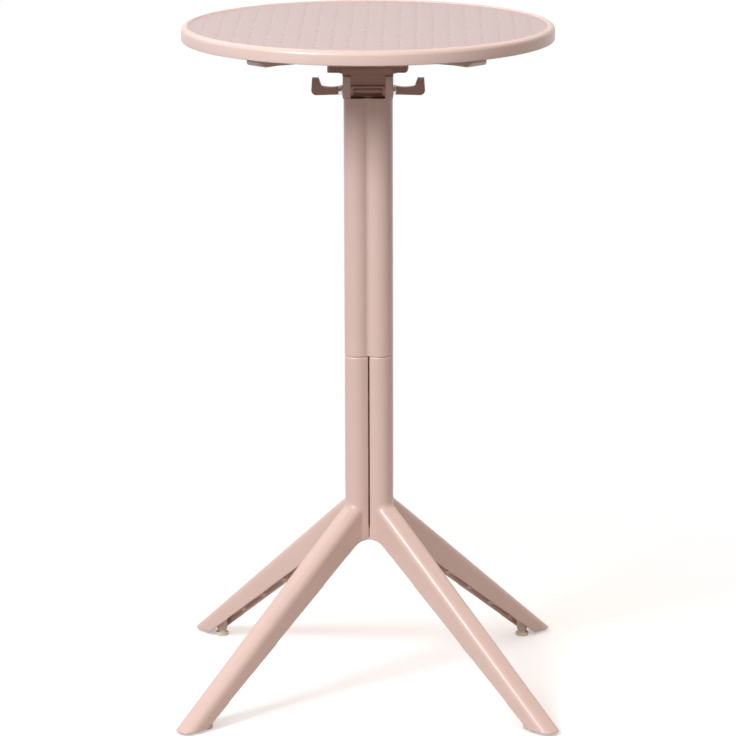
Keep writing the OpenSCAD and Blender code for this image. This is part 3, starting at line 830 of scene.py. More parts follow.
@dataclass(frozen=True)
class Screw:
    """A pan-head screw that points up, with its head's underside at z = 0, in millimetres."""

    head_r: float
    head_h: float
    shank_r: float = 2.4
    pitch: float = 1.3
    dome_share: float = 0.62
    dome_steps: int = 7

    def profile(self, length: float) -> tuple[list[Point], Thread]:
        """Gives the screw's section and its thread.

        Args:
            length: length of the shank under the head.

        Returns:
            Pairs of radius and height from the tip to the head, and the thread.
        """
        point = self.shank_r * 1.1
        thread = Thread(0.8, length - point * 0.5, self.pitch, self.shank_r * 0.24)
        rows = [(0.0, length), (self.shank_r * 0.266, length)]
        rows += [(self.shank_r * min(1.0, (length - z) / point + 0.35), z) for z in thread.heights()]
        rows += [(self.shank_r, 0.4), (self.shank_r + 0.3, 0.0), (self.head_r - 0.15, 0.0)]
        rows += [(self.head_r, -0.2)]
        dome = self.head_h * self.dome_share
        for k in range(1, self.dome_steps + 1):
            turn = math.pi / 2 * k / self.dome_steps
            drop = self.head_h - dome + dome * math.sin(turn)
            rows.append((self.head_r * (1 - 0.42 * (1 - math.cos(turn))), -drop))
        rows.append((0.0, -self.head_h))
        return rows, thread

    def recess(self) -> bmesh.types.BMesh:
        """Makes the tapered cross that is pressed into the head.

        Returns:
            The cross, as a closed mesh that reaches a little out of the head.
        """
        outlines = []
        for scale, z in ((1.0, -self.head_h - 0.2), (0.62, -self.head_h * 0.32)):
            arm, half = self.head_r * 0.56 * scale, self.head_r * 0.13 * (0.5 + 0.5 * scale)
            outline = []
            for k in range(4):
                c, s = math.cos(k * math.pi / 2), math.sin(k * math.pi / 2)
                quarter = ((half, -half), (arm, -half), (arm, half))
                outline += [(c * x - s * y, s * x + c * y, z) for x, y in quarter]
            outlines.append(outline)
        return bridged(*outlines)


@dataclass
class TableTop(Maker):
    """The round panel with its dimpled field, raised bead, rim and ribs."""

    frame: dict
    crown_rise: float = 3.5
    bead_w: float = 10.0
    bead_rise: float = 2.0
    bead_round: float = 0.9
    edge_round: float = 8.0
    lip_round: float = 1.4
    inside_round: float = 2.5
    wall: float = 5.0
    skin: float = 4.0
    pitch: float = 26.1
    columns: int = 21
    rows: int = 22
    dimple_reach: float = 278.0
    dimple_r: float = 4.6
    dimple_depth: float = 1.9
    rib_count: int = 8
    rib_start: float = 48.0
    rib_steps: int = 8
    rib_lift: float = 5.0
    rib_t: float = 3.0
    ring_r: float = 160.0
    ring_turns: int = 128
    draft: float = 0.3
    sunk: float = 2.0
    seat_lift: float = 4.0
    boss_r: float = 7.0
    boss_places: tuple[float, float] = (118.0, 222.0)
    bore_r: float = 2.5
    bore_depth: float = 11.0
    turns: int = 256
    radius: float = field(init=False)
    crown_z: float = field(init=False)
    low_z: float = field(init=False)

    def __post_init__(self) -> None:
        """Takes the panel's outer size and height from its solid."""
        low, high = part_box("top_panel")
        self.radius, self.crown_z, self.low_z = high.x / MM, high.z / MM, low.z / MM

    @property
    def field_r(self) -> float:
        """Radius of the dimpled field."""
        return self.radius - self.bead_w

    @property
    def rib_z(self) -> float:
        """Height of the ribs' lower edges."""
        return self.low_z + self.rib_lift

    @property
    def seat_z(self) -> float:
        """Height at which the arms bear on the bosses."""
        return self.low_z + self.seat_lift

    def crown(self, r: float) -> float:
        """Height of the field at a distance from the middle."""
        return self.crown_z - self.crown_rise * (r / self.field_r) ** 2

    def profile(self) -> list[Point]:
        """Gives the panel's section.

        Returns:
            Pairs of radius and height from the middle of the field round to the middle underneath.
        """
        low, soft, edge = self.low_z, self.bead_round, self.edge_round
        bead_z = self.crown_z - self.crown_rise + self.bead_rise
        inside = self.radius - self.wall
        flat, steps = self.field_r * 0.993, 20
        points = [(flat * k / steps, self.crown(flat * k / steps)) for k in range(steps)]
        points += arc((self.field_r - 2.0, self.crown(flat) + soft), soft, -90, -10, 4)
        points += arc((self.field_r + 0.2, bead_z - soft), soft, 170, 90, 4)
        points += arc((self.radius - edge, bead_z - edge), edge, 90, 0, 12)
        points += [(self.radius, (bead_z - edge) * 0.6 + low * 0.4)]
        points += arc((self.radius - self.lip_round, low + self.lip_round), self.lip_round, 0, -90, 4)
        points += arc((inside + soft, low + soft), soft, -90, -180, 3)
        under = self.crown(self.field_r) - self.skin
        points += [(inside, under - 8.0)]
        corner = self.inside_round
        points += arc((inside - corner, under - corner), corner, 0, 90, 4)
        points += [(r, self.crown(r) - self.skin) for r in range(280, -1, -40)]
        return points

    def rib(self) -> bpy.types.Object:
        """Makes one rib from near the middle out to the rim, with a draft.

        Returns:
            The rib, along the X axis.
        """
        start, steps = self.rib_start, self.rib_steps
        run = self.radius - self.wall / 2 - start
        places = [start + run * k / steps for k in range(steps + 1)]
        outlines = []
        for side in (-self.rib_t, self.rib_t):
            upper = [(r, side * 0.62, self.crown(min(r, self.field_r)) - self.sunk) for r in places]
            outlines.append(upper + [(r, side * 0.42, self.rib_z) for r in reversed(places)])
        return self.from_bmesh("rib_pattern", bridged(*outlines))

    def boss(self, place: float) -> bpy.types.Object:
        """Makes one screw boss with its pilot hole.

        Args:
            place: the screw's distance from the middle.

        Returns:
            The boss, on the X axis.
        """
        top, seat, r, bore = self.crown(place) - self.sunk, self.seat_z, self.boss_r, self.bore_r
        profile = [(0.0, top), (r + 0.6, top), (r, seat + 0.5), (r - 0.5, seat)]
        profile += [(bore + 0.4, seat), (bore, seat + 0.4)]
        profile += [(bore, seat + self.bore_depth), (0.0, seat + self.bore_depth + 1.0)]
        bm = lathe(profile, 32)
        bmesh.ops.translate(bm, verts=bm.verts, vec=(place * MM, 0, 0))
        return self.from_bmesh("boss_pattern", bm)

    def ring(self) -> bpy.types.Object:
        """Makes the ring rib.

        Returns:
            The ring rib.
        """
        top, near, far = self.crown(self.ring_r) - self.sunk, self.ring_r, self.ring_r + self.rib_t
        section = [
            (near - self.draft, top), (far + self.draft, top),
            (far - self.draft, self.rib_z), (near + self.draft, self.rib_z),
        ]
        return self.from_bmesh("ring_pattern", hoop(section, self.ring_turns))

    def tree(self, patterns: dict[str, bpy.types.Object]) -> bpy.types.NodeTree:
        """Builds the tree that adds the ribs and bosses and sinks the dimples.

        Args:
            patterns: the rib and boss objects that are repeated round the middle, and the ring rib.

        Returns:
            A geometry tree whose inputs are the dimples' pitch, reach, radius and depth.
        """
        labels = ("Pitch", "Reach", "Dimple radius", "Dimple depth")
        g, entry = self.open_tree("table_top", {label: "Float" for label in labels})
        parts = [self.repeat(g, patterns["rib"], self.rib_count, 180.0 / self.rib_count)]
        parts += [self.repeat(g, patterns[f"boss{k}"], 4, 45.0) for k in range(len(self.boss_places))]
        ring = g.add("GeometryNodeObjectInfo", None, {"Object": patterns["ring"]})
        whole = g.add("GeometryNodeMeshBoolean", {"operation": "UNION", "solver": "MANIFOLD"})
        for socket in (entry.outputs["Geometry"], ring.outputs["Geometry"], *parts):
            g.tree.links.new(socket, whole.inputs["Mesh 2"])
        cutters = self.cutters(g, *(g.value(entry, label) for label in labels))
        way = {"operation": "DIFFERENCE", "solver": "MANIFOLD"}
        cut = g.add("GeometryNodeMeshBoolean", way, {"Mesh 1": whole.outputs[0], "Mesh 2": cutters})
        return self.close_tree(g, cut.outputs[0], RIM_PAINTED_LIGHT)

    @staticmethod
    def repeat(g: Graph, pattern: bpy.types.Object, count: int, start: float) -> bpy.types.NodeSocket:
        """Repeats an object round the Z axis.

        Args:
            g: the tree's graph.
            pattern: the object, with its place in its mesh.
            count: how many there are.
            start: angle of the first one in degrees.

        Returns:
            The socket with all of them.
        """
        shape = g.add("GeometryNodeObjectInfo", None, {"Object": pattern}).outputs["Geometry"]
        line = g.add("GeometryNodeMeshLine", None, {"Count": count, "Offset": (0.0, 0.0, 0.0)})
        index = g.value(g.add("GeometryNodeInputIndex"))
        turn = index * (2 * math.pi / count) + math.radians(start)
        rotation = g.add("ShaderNodeCombineXYZ", None, {"Z": turn}).outputs[0]
        inputs = {"Points": line.outputs[0], "Instance": shape, "Rotation": rotation}
        put = g.add("GeometryNodeInstanceOnPoints", None, inputs)
        return g.add("GeometryNodeRealizeInstances", None, {"Geometry": put.outputs[0]}).outputs[0]

    def cutters(
        self, g: Graph, pitch: Value, reach: Value, radius: Value, depth: Value
    ) -> bpy.types.NodeSocket:
        """Sets a ball over each place of the grid, so that it cuts one dimple.

        Args:
            g: the tree's graph.
            pitch: distance from dimple to dimple.
            reach: distance from the middle past which there are none.
            radius: a dimple's radius.
            depth: a dimple's depth.

        Returns:
            The socket with the balls.
        """
        size = {"Size X": pitch * (self.columns - 1), "Size Y": pitch * (self.rows - 1)}
        count = {"Vertices X": self.columns, "Vertices Y": self.rows}
        grid = g.add("GeometryNodeMeshGrid", None, {**size, **count}).outputs["Mesh"]
        place = g.add("GeometryNodeInputPosition").outputs[0]
        length = g.length(place)
        kept = g.add(
            "GeometryNodeDeleteGeometry", {"domain": "POINT", "mode": "ALL"},
            {"Geometry": grid, "Selection": length.above(reach)},
        )
        points = g.add("GeometryNodeMeshToPoints", None, {"Mesh": kept.outputs[0]}).outputs[0]
        ball_r = (radius * radius + depth * depth) / (depth * 2.0)
        sag = length * length * (self.crown_rise * MM / (self.field_r * MM) ** 2)
        lift = g.add("ShaderNodeCombineXYZ", None, {"Z": self.crown_z * MM - sag + ball_r - depth}).outputs[0]
        raised = g.add("GeometryNodeSetPosition", None, {"Geometry": points, "Offset": lift}).outputs[0]
        ball = g.add("GeometryNodeMeshUVSphere", None, {"Segments": 20, "Rings": 18, "Radius": ball_r})
        inputs = {"Points": raised, "Instance": ball.outputs["Mesh"]}
        put = g.add("GeometryNodeInstanceOnPoints", None, inputs)
        return g.add("GeometryNodeRealizeInstances", None, {"Geometry": put.outputs[0]}).outputs[0]

    def build(self) -> None:
        """Builds the panel in place of its node."""
        panel = self.from_bmesh("table_top_panel", lathe(self.profile(), self.turns))
        patterns = {"rib": self.rib(), "ring": self.ring()}
        for k, place in enumerate(self.boss_places):
            patterns[f"boss{k}"] = self.boss(place)
        sizes = {
            "Pitch": self.pitch, "Reach": self.dimple_reach,
            "Dimple radius": self.dimple_r, "Dimple depth": self.dimple_depth,
        }
        self.grown(panel, self.tree(patterns), {label: size * MM for label, size in sizes.items()})
        for pattern in patterns.values():
            bpy.data.objects.remove(pattern)
        panel.data.materials.clear()
        # The rim, bead, underside, ribs and bosses keep the lighter rim finish, which is painted light; the
        # field's upward faces get the field's finish.
        for finish in (RIM_PAINTED_LIGHT, FIELD):
            panel.data.materials.append(finish.material())
        inner, floor_z = (self.field_r - 1.6) * MM, (self.rib_z + 14.0) * MM
        for polygon in panel.data.polygons:
            centre = polygon.center
            if centre.z > floor_z and math.hypot(centre.x, centre.y) < inner and polygon.normal.z > 0.2:
                polygon.material_index = 1
        self.shade_smooth(panel, 24.0)
        self.place_piece(panel, Body.TOP, Slot.TOP, RIM_PAINTED_LIGHT, ["top_panel"])


@dataclass
class Castings(Maker):
    """The moulded pieces between the top and the legs, with their edges rounded."""

    frame: dict
    plate_t: float = 8.0
    plate_y: float = 98.0
    block_w: float = 82.5
    line_depth: float = 0.9
    line_h: float = 1.0
    lines: tuple[float, float] = (1.9, 4.9)

    def brick(self, low: Sequence[float], high: Sequence[float]) -> bpy.types.Object:
        """Makes a plain block.

        Args:
            low: its lowest corner in millimetres.
            high: its highest corner.

        Returns:
            The block.
        """
        bm = bmesh.new()
        bmesh.ops.create_cube(bm, size=1.0)
        bmesh.ops.scale(bm, verts=bm.verts, vec=(Vector(high) - Vector(low)) * MM)
        bmesh.ops.translate(bm, verts=bm.verts, vec=(Vector(high) + Vector(low)) / 2 * MM)
        return self.from_bmesh("brick", bm)

    def plate_lines(self, head: bpy.types.Object) -> None:
        """Cuts the lines round each wing of the mounting plate, and the block's edges between the wings.

        Args:
            head: the tilting head.
        """
        low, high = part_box("tilt_head")
        plate_z, end = high.z / MM - self.plate_t, high.x / MM
        front, inner = -self.plate_y / 2, self.block_w / 2
        face = ((inner + 0.6, end + 1), (front - 1, front + self.line_depth))
        side_end = ((end - self.line_depth, end + 1), (front + 6, -front - 6))
        for side in (-1, 1):
            for z in (plate_z + line for line in self.lines):
                for x, y in (face, side_end):
                    near, far = sorted((side * x[0], side * x[1]))
                    self.cut(head, self.brick((near, y[0], z), (far, y[1], z + self.line_h)))
            near, far = sorted((side * (inner - 0.2), side * (inner + 0.5)))
            top = plate_z + self.plate_t + 1
            self.cut(head, self.brick((near, front - 1, plate_z - 1), (far, front + 1.2, top)))

    def build(self) -> None:
        """Rounds each casting and sets it in place of its node."""
        # The head, release bar and hooks take FRAME, the darker copy of the resin that paints in the shade
        # under the top.
        pieces = {
            "top_spider": (Body.TOP, Slot.RESIN, RESIN, 1.0),
            "tilt_head": (Body.TOP, Slot.FRAME, FRAME, 0.7),
            "column_cap": (Body.BASE, Slot.RESIN, RESIN, 0.8),
            "release_bar": (Body.RELEASE, Slot.FRAME, FRAME, 0.6),
            "hook_left": (Body.RELEASE, Slot.FRAME, FRAME, 1.2),
            "hook_right": (Body.RELEASE, Slot.FRAME, FRAME, 1.2),
            "upper_column": (Body.BASE, Slot.RESIN, RESIN, 1.3),
        }
        for node, (body, slot, finish, round_mm) in pieces.items():
            piece = self.softened(node, f"{node}_casting", round_mm)
            if node == "tilt_head":
                self.plate_lines(piece)
                self.shade_smooth(piece, 40.0)
            self.place_piece(piece, body, slot, finish, [node])


@dataclass
class Legs(Maker):
    """Four legs, each an upright quarter of the column and a splayed foot."""

    frame: dict
    names: tuple[str, ...] = ("leg_front_left", "leg_front_right", "leg_rear_right", "leg_rear_left")
    shoulder_out: float = 46.0
    shoulder_z: float = 317.0
    shoulder_r: float = 16.0
    shoulder_fade: float = 18.0
    shoulder_passes: int = 60
    skin: float = 1.7
    skin_passes: int = 5

    def round_shoulder(self, leg: bpy.types.Object) -> None:
        """Lets the foot's ridge run softly into the upright.

        Args:
            leg: the front left leg.
        """
        group = leg.vertex_groups.new(name="shoulder")
        out = -self.shoulder_out / math.sqrt(2)
        centre = Vector((out, out, self.shoulder_z))
        for vert in leg.data.vertices:
            away = (vert.co / MM - centre).length - self.shoulder_r
            weight = 1.0 - min(1.0, max(0.0, away / self.shoulder_fade))
            if weight > 0.0:
                group.add([vert.index], weight, "REPLACE")
        smooth = leg.modifiers.new("shoulder", "SMOOTH")
        smooth.factor, smooth.iterations, smooth.vertex_group = 0.5, self.shoulder_passes, group.name
        self.apply(leg)

    def build(self) -> None:
        """Softens one leg and turns copies of it for the others."""
        name = self.names[0]
        first = self.remoulded(name, f"{name}_moulding", self.skin, self.skin_passes)
        self.round_shoulder(first)
        for k, name in enumerate(self.names):
            piece = first
            if k:
                mesh = first.data.copy()
                mesh.transform(Matrix.Rotation(math.pi / 2 * k, 4, "Z"))
                piece = self.link(f"{name}_moulding", mesh)
            self.place_piece(piece, Body.BASE, Slot.RESIN, RESIN, [name])


@dataclass
class Hardware(Maker):
    """Bolts, nuts, washers, screws, the pin, the spring, the tube, the plate, the bushes and the inserts."""

    frame: dict
    across: float = 13.0
    bolt_r: float = 4.0
    bolt_pitch: float = 1.25
    bolt_cut: float = 0.55
    hinge_thread: float = 22.0
    tie_thread: float = 28.0
    chamfer: float = 0.7
    flange_h: float = 0.3
    seed: int = 7

    def screw_tree(self, finish: Finish) -> bpy.types.NodeTree:
        """Builds the tree that sets one screw at each point of a mesh.

        Args:
            finish: the screws' finish.

        Returns:
            A geometry tree whose inputs are the screw and the widest turn about its own axis.
        """
        g, entry = self.open_tree("screw_set", {"Screw": "Object", "Turn": "Float"})
        shape = g.add("GeometryNodeObjectInfo", None, {"Object": entry.outputs["Screw"]}).outputs["Geometry"]
        chance = g.add("FunctionNodeRandomValue", {"data_type": "FLOAT"}, {"Seed": self.seed})
        turn = g.value(chance, 1) * g.value(entry, "Turn")
        rotation = g.add("ShaderNodeCombineXYZ", None, {"Z": turn}).outputs[0]
        inputs = {"Points": entry.outputs["Geometry"], "Instance": shape, "Rotation": rotation}
        put = g.add("GeometryNodeInstanceOnPoints", None, inputs)
        return self.close_tree(g, put.outputs[0], finish)

    def screws(self, node: str, screw: Screw, body: Body, lying: bool = False) -> None:
        """Replaces a node's plain screws by threaded ones with a cross in their heads.

        Args:
            node: the CAD node, whose solids give each screw's place and length.
            screw: the screw's sizes.
            body: the body that the screws ride on.
            lying: True where the screws point to the front and not up.
        """
        lengths: dict[float, list[Vector]] = {}
        for low, high in self.solids(node):
            middle = (low + high) / 2
            if lying:
                place, length = Vector((middle.x, high.y - screw.head_h, middle.z)), high.y - low.y
            else:
                place, length = Vector((middle.x, middle.y, low.z + screw.head_h)), high.z - low.z
            lengths.setdefault(round(length - screw.head_h, 2), []).append(place)
        sets = []
        for length, places in lengths.items():
            rows, thread = screw.profile(length)
            pattern = self.from_bmesh(f"{node}_pattern", lathe(rows, 24, thread.swell))
            self.cut(pattern, self.from_bmesh(f"{node}_cross", screw.recess()))
            if lying:
                pattern.data.transform(Matrix.Rotation(math.pi / 2, 4, "X"))
            self.shade_smooth(pattern, 38.0)
            bm = bmesh.new()
            for place in places:
                bm.verts.new(place * MM)
            made = self.from_bmesh(f"{node}_set", bm)
            self.grown(made, self.screw_tree(ZINC), {"Screw": pattern, "Turn": 0.0 if lying else math.pi})
            bpy.data.objects.remove(pattern)
            sets.append(made)
        whole = sets[0] if len(sets) == 1 else self.joined(f"{node}_threaded", sets)
        whole.name = f"{node}_threaded"
        self.steel(whole, [node], body)

    def steel(self, piece: bpy.types.Object, replaces: Sequence[str], body: Body = Body.BASE) -> None:
        """Gives a finished piece of plated steel its finish and its place among the bodies.

        Args:
            piece: the piece.
            replaces: the CAD nodes that it stands for.
            body: the body that it rides on.
        """
        piece.data.materials.clear()
        self.place_piece(piece, body, Slot.STEEL, ZINC, replaces)

    def hexagon(self, name: str, low: float, high: float, both: bool) -> bpy.types.Object:
        """Makes a hexagonal block along Z with its corners turned off.

        Args:
            name: the block's name.
            low: its lower end, which is chamfered.
            high: its upper end.
            both: True where the upper end is chamfered too.

        Returns:
            The block.
        """
        corner = self.across / math.sqrt(3)
        turns = [k * math.pi / 3 for k in range(6)]
        below, above = ([(corner * math.cos(a), corner * math.sin(a), z) for a in turns] for z in (low, high))
        block = self.from_bmesh(name, bridged(below, above))
        flat, drop = self.across / 2 - 0.3, (corner - self.across / 2 + 0.5) * math.tan(math.radians(30))
        wide = corner + 0.2
        cone = [(0.0, high + 0.5), (wide, high + 0.5)]
        if both:
            cone = [(0.0, high), (flat, high), (wide, high - drop)]
        cone += [(wide, low + drop), (flat, low), (0.0, low)]
        return self.cut(block, self.from_bmesh(f"{name}_cone", lathe(cone, 64)), "INTERSECT")

    def rod(self, name: str, low: float, high: float, threads: Sequence[Thread]) -> bpy.types.Object:
        """Makes a round rod along Z with chamfered ends.

        Args:
            name: the rod's name.
            low: its lower end.
            high: its upper end.
            threads: its threads, from the top down.

        Returns:
            The rod.
        """
        r, chamfer = self.bolt_r, self.chamfer
        rows = [(0.0, high), (r - chamfer, high), (r - 0.05, high - chamfer)]
        for thread in threads:
            rows += [(r, z) for z in thread.heights()]
        rows += [(r - 0.05, low + chamfer), (r - chamfer, low), (0.0, low)]

        def swell(radius: float, height: float, angle: float) -> float:
            """Cuts each thread in turn.

            Args:
                radius: the rod's radius.
                height: height on the rod.
                angle: angle round it in radians.

            Returns:
                The radius that is left.
            """
            for thread in threads:
                radius = thread.swell(radius, height, angle)
            return radius

        return self.from_bmesh(name, lathe(rows, 28, swell))

    def across_hinge(self, piece: bpy.types.Object) -> bpy.types.Object:
        """Lays a piece that was made along Z into the hinge axis, along X with two flats level.

        Args:
            piece: the piece.

        Returns:
            The same piece.
        """
        low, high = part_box("hinge_washer")
        middle = (low + high) / 2
        lay = Matrix.Rotation(math.pi / 2, 4, "Y") @ Matrix.Rotation(math.radians(30), 4, "Z")
        piece.data.transform(Matrix.Translation((0.0, middle.y, middle.z)) @ lay)
        return piece

    def hinge_set(self) -> None:
        """Makes the hinge's bolt, washer and nut."""
        low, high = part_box("hinge_bolt")
        washer_low, washer_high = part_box("hinge_washer")
        start, end, seat = low.x / MM, high.x / MM, washer_low.x / MM
        head = self.hexagon("hinge_bolt_turned", start, seat - self.flange_h, False)
        flange_r, under = self.across / 2 - 0.4, seat - 2 * self.flange_h
        flange = [(0.0, seat), (flange_r, seat), (flange_r, under), (0.0, under)]
        self.cut(head, self.from_bmesh("hinge_bolt_face", lathe(flange, 48)), "UNION")
        thread = Thread(end - self.hinge_thread, end - self.chamfer, self.bolt_pitch, self.bolt_cut)
        self.cut(head, self.rod("hinge_bolt_shank", seat - 1.0, end, [thread]), "UNION")
        self.shade_smooth(head, 32.0)
        self.steel(self.across_hinge(head), ["hinge_bolt"])
        outer, thick = (washer_high.z - washer_low.z) / 2 / MM, (washer_high.x - washer_low.x) / MM
        washer = self.washer("hinge_washer_pressed", outer, thick, seat)
        self.steel(self.across_hinge(washer), ["hinge_washer"])
        nut_low, nut_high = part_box("hinge_nut")
        nut = self.nut("hinge_nut_turned", nut_low.x / MM, nut_high.x / MM)
        self.steel(self.across_hinge(nut), ["hinge_nut"])

    def washer(self, name: str, outer: float, thick: float, z: float) -> bpy.types.Object:
        """Makes a washer with its stamped edges rounded.

        Args:
            name: the washer's name.
            outer: its outer radius.
            thick: its thickness.
            z: height of its underside.

        Returns:
            The washer, round the Z axis.
        """
        inner, soft = self.bolt_r + 0.1, 0.3
        section = [
            (inner, soft), (inner + soft, 0.0), (outer - soft, 0.0), (outer, soft),
            (outer, thick - soft), (outer - soft, thick), (inner + soft, thick), (inner, thick - soft),
        ]
        piece = self.from_bmesh(name, hoop([(r, z + rise) for r, rise in section], 64))
        self.shade_smooth(piece, 50.0)
        return piece

    def nut(self, name: str, low: float, high: float) -> bpy.types.Object:
        """Makes a nut along Z with a bore that its bolt fills.

        Args:
            name: the nut's name.
            low: its lower end.
            high: its upper end.

        Returns:
            The nut.
        """
        block = self.hexagon(name, low, high, True)
        r = self.bolt_r + 0.02
        bore = [(0.0, high + 1), (r + 1.6, high + 1), (r, high - 0.6)]
        bore += [(r, low + 0.6), (r + 1.6, low - 1), (0.0, low - 1)]
        self.cut(block, self.from_bmesh(f"{name}_bore", lathe(bore, 48)))
        self.shade_smooth(block, 32.0)
        return block

    def tie_set(self) -> None:
        """Makes the tie rod, its two washers and its two nuts."""
        low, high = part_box("tie_rod")
        start, end, run, chamfer = low.z / MM, high.z / MM, self.tie_thread, self.chamfer
        spans = ((end - run, end - chamfer), (start + chamfer, start + run))
        threads = [Thread(*span, self.bolt_pitch, self.bolt_cut) for span in spans]
        rod = self.rod("tie_rod_turned", start, end, threads)
        self.shade_smooth(rod, 40.0)
        self.steel(rod, ["tie_rod"])
        washers = [
            self.washer(f"rod_washer_{k}", (above.x - below.x) / 2, above.z - below.z, below.z)
            for k, (below, above) in enumerate(self.solids("rod_washers"))
        ]
        self.steel(self.joined("rod_washers_pressed", washers), ["rod_washers"])
        nuts = [
            self.nut(f"rod_nut_{k}", below.z, above.z)
            for k, (below, above) in enumerate(self.solids("rod_nuts"))
        ]
        self.steel(self.joined("rod_nuts_turned", nuts), ["rod_nuts"])

    def build(self) -> None:
        """Makes the threaded pieces and dresses the others."""
        self.screws("top_screws", Screw(4.5, 3.0), Body.TOP)
        self.screws("head_bolts", Screw(4.6, 3.4), Body.TOP)
        self.screws("hub_screws", Screw(4.2, 2.6), Body.BASE)
        self.screws("hook_screws", Screw(4.0, 1.2), Body.RELEASE, lying=True)
        self.hinge_set()
        self.tie_set()
        finishes = {
            "lever_pin": ZINC,
            "hub_plate": ZINC,
            "lever_spring": SPRING_WIRE,
            # The core tube's black lacquer also paints in the shade of the column's hollow, seen through the
            # slit.
            "core_tube": TUBE,
            "foot_inserts": BRASS,
            "hinge_bushes": NYLON,
        }
        for node, finish in finishes.items():
            self.dress(node, finish)


@dataclass
class Feet(Maker):
    """Four screw-in feet, each a toothed disc with a neck and a threaded stem."""

    frame: dict
    names: tuple[str, ...] = ("foot_front_left", "foot_front_right", "foot_rear_right", "foot_rear_left")
    bodies: tuple[Body, ...] = (Body.FOOT_A, Body.FOOT_B, Body.FOOT_C, Body.FOOT_D)
    disc_t: float = 6.0
    neck_r: float = 6.5
    neck_h: float = 3.6
    stem_r: float = 3.95
    thread_pitch: float = 1.5
    teeth: int = 18
    tooth_depth: float = 0.8
    teeth_z: float = 1.2

    def turned(self, disc_r: float, top: float) -> bmesh.types.BMesh:
        """Turns one foot about the Z axis.

        Args:
            disc_r: the disc's radius.
            top: height of the stem's end.

        Returns:
            The foot, with its teeth and its thread.
        """
        neck_z, disc_t, neck_r = self.disc_t + self.neck_h, self.disc_t, self.neck_r
        thread = Thread(neck_z + 0.4, top - 0.8, self.thread_pitch)
        rows = [(0.0, top), (self.stem_r - 0.8, top)] + [(self.stem_r, z) for z in thread.heights()]
        rows += [(self.stem_r, neck_z), (neck_r - 0.5, neck_z), (neck_r, neck_z - 0.5)]
        rows += [(neck_r, disc_t + 0.6), (neck_r + 0.6, disc_t)]
        rows += arc((disc_r - 1.4, disc_t - 1.4), 1.4, 90, 0, 5)
        rows += [(disc_r, 2.6), (disc_r, 1.4)]
        rows += arc((disc_r - 0.8, 0.8), 0.8, 0, -90, 4)
        rows += [(disc_r * 0.6, 0.0), (disc_r * 0.55, 0.5), (0.0, 0.5)]

        def swell(radius: float, height: float, angle: float) -> float:
            """Cuts the stem's thread and the disc's teeth.

            Args:
                radius: the foot's radius.
                height: height on the foot.
                angle: angle round it in radians.

            Returns:
                The radius that is left.
            """
            if radius > disc_r - 1.5 and height > self.teeth_z:
                wave = 0.5 - 0.5 * math.cos(angle * self.teeth)
                return radius - self.tooth_depth * wave ** 3 * min(1.0, height - self.teeth_z)
            return thread.swell(radius, height, angle) if radius < neck_r else radius

        return lathe(rows, 144, swell)

    def build(self) -> None:
        """Turns a foot for each place."""
        for name, body in zip(self.names, self.bodies):
            low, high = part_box(name)
            middle = (low + high) / 2
            foot = self.turned((high.x - low.x) / 2 / MM, high.z / MM)
            piece = self.from_bmesh(f"{name}_turned", foot)
            piece.data.transform(Matrix.Translation((middle.x, middle.y, 0.0)))
            self.shade_smooth(piece, 40.0)
            self.place_piece(piece, body, Slot.GLIDE, NYLON, [name])


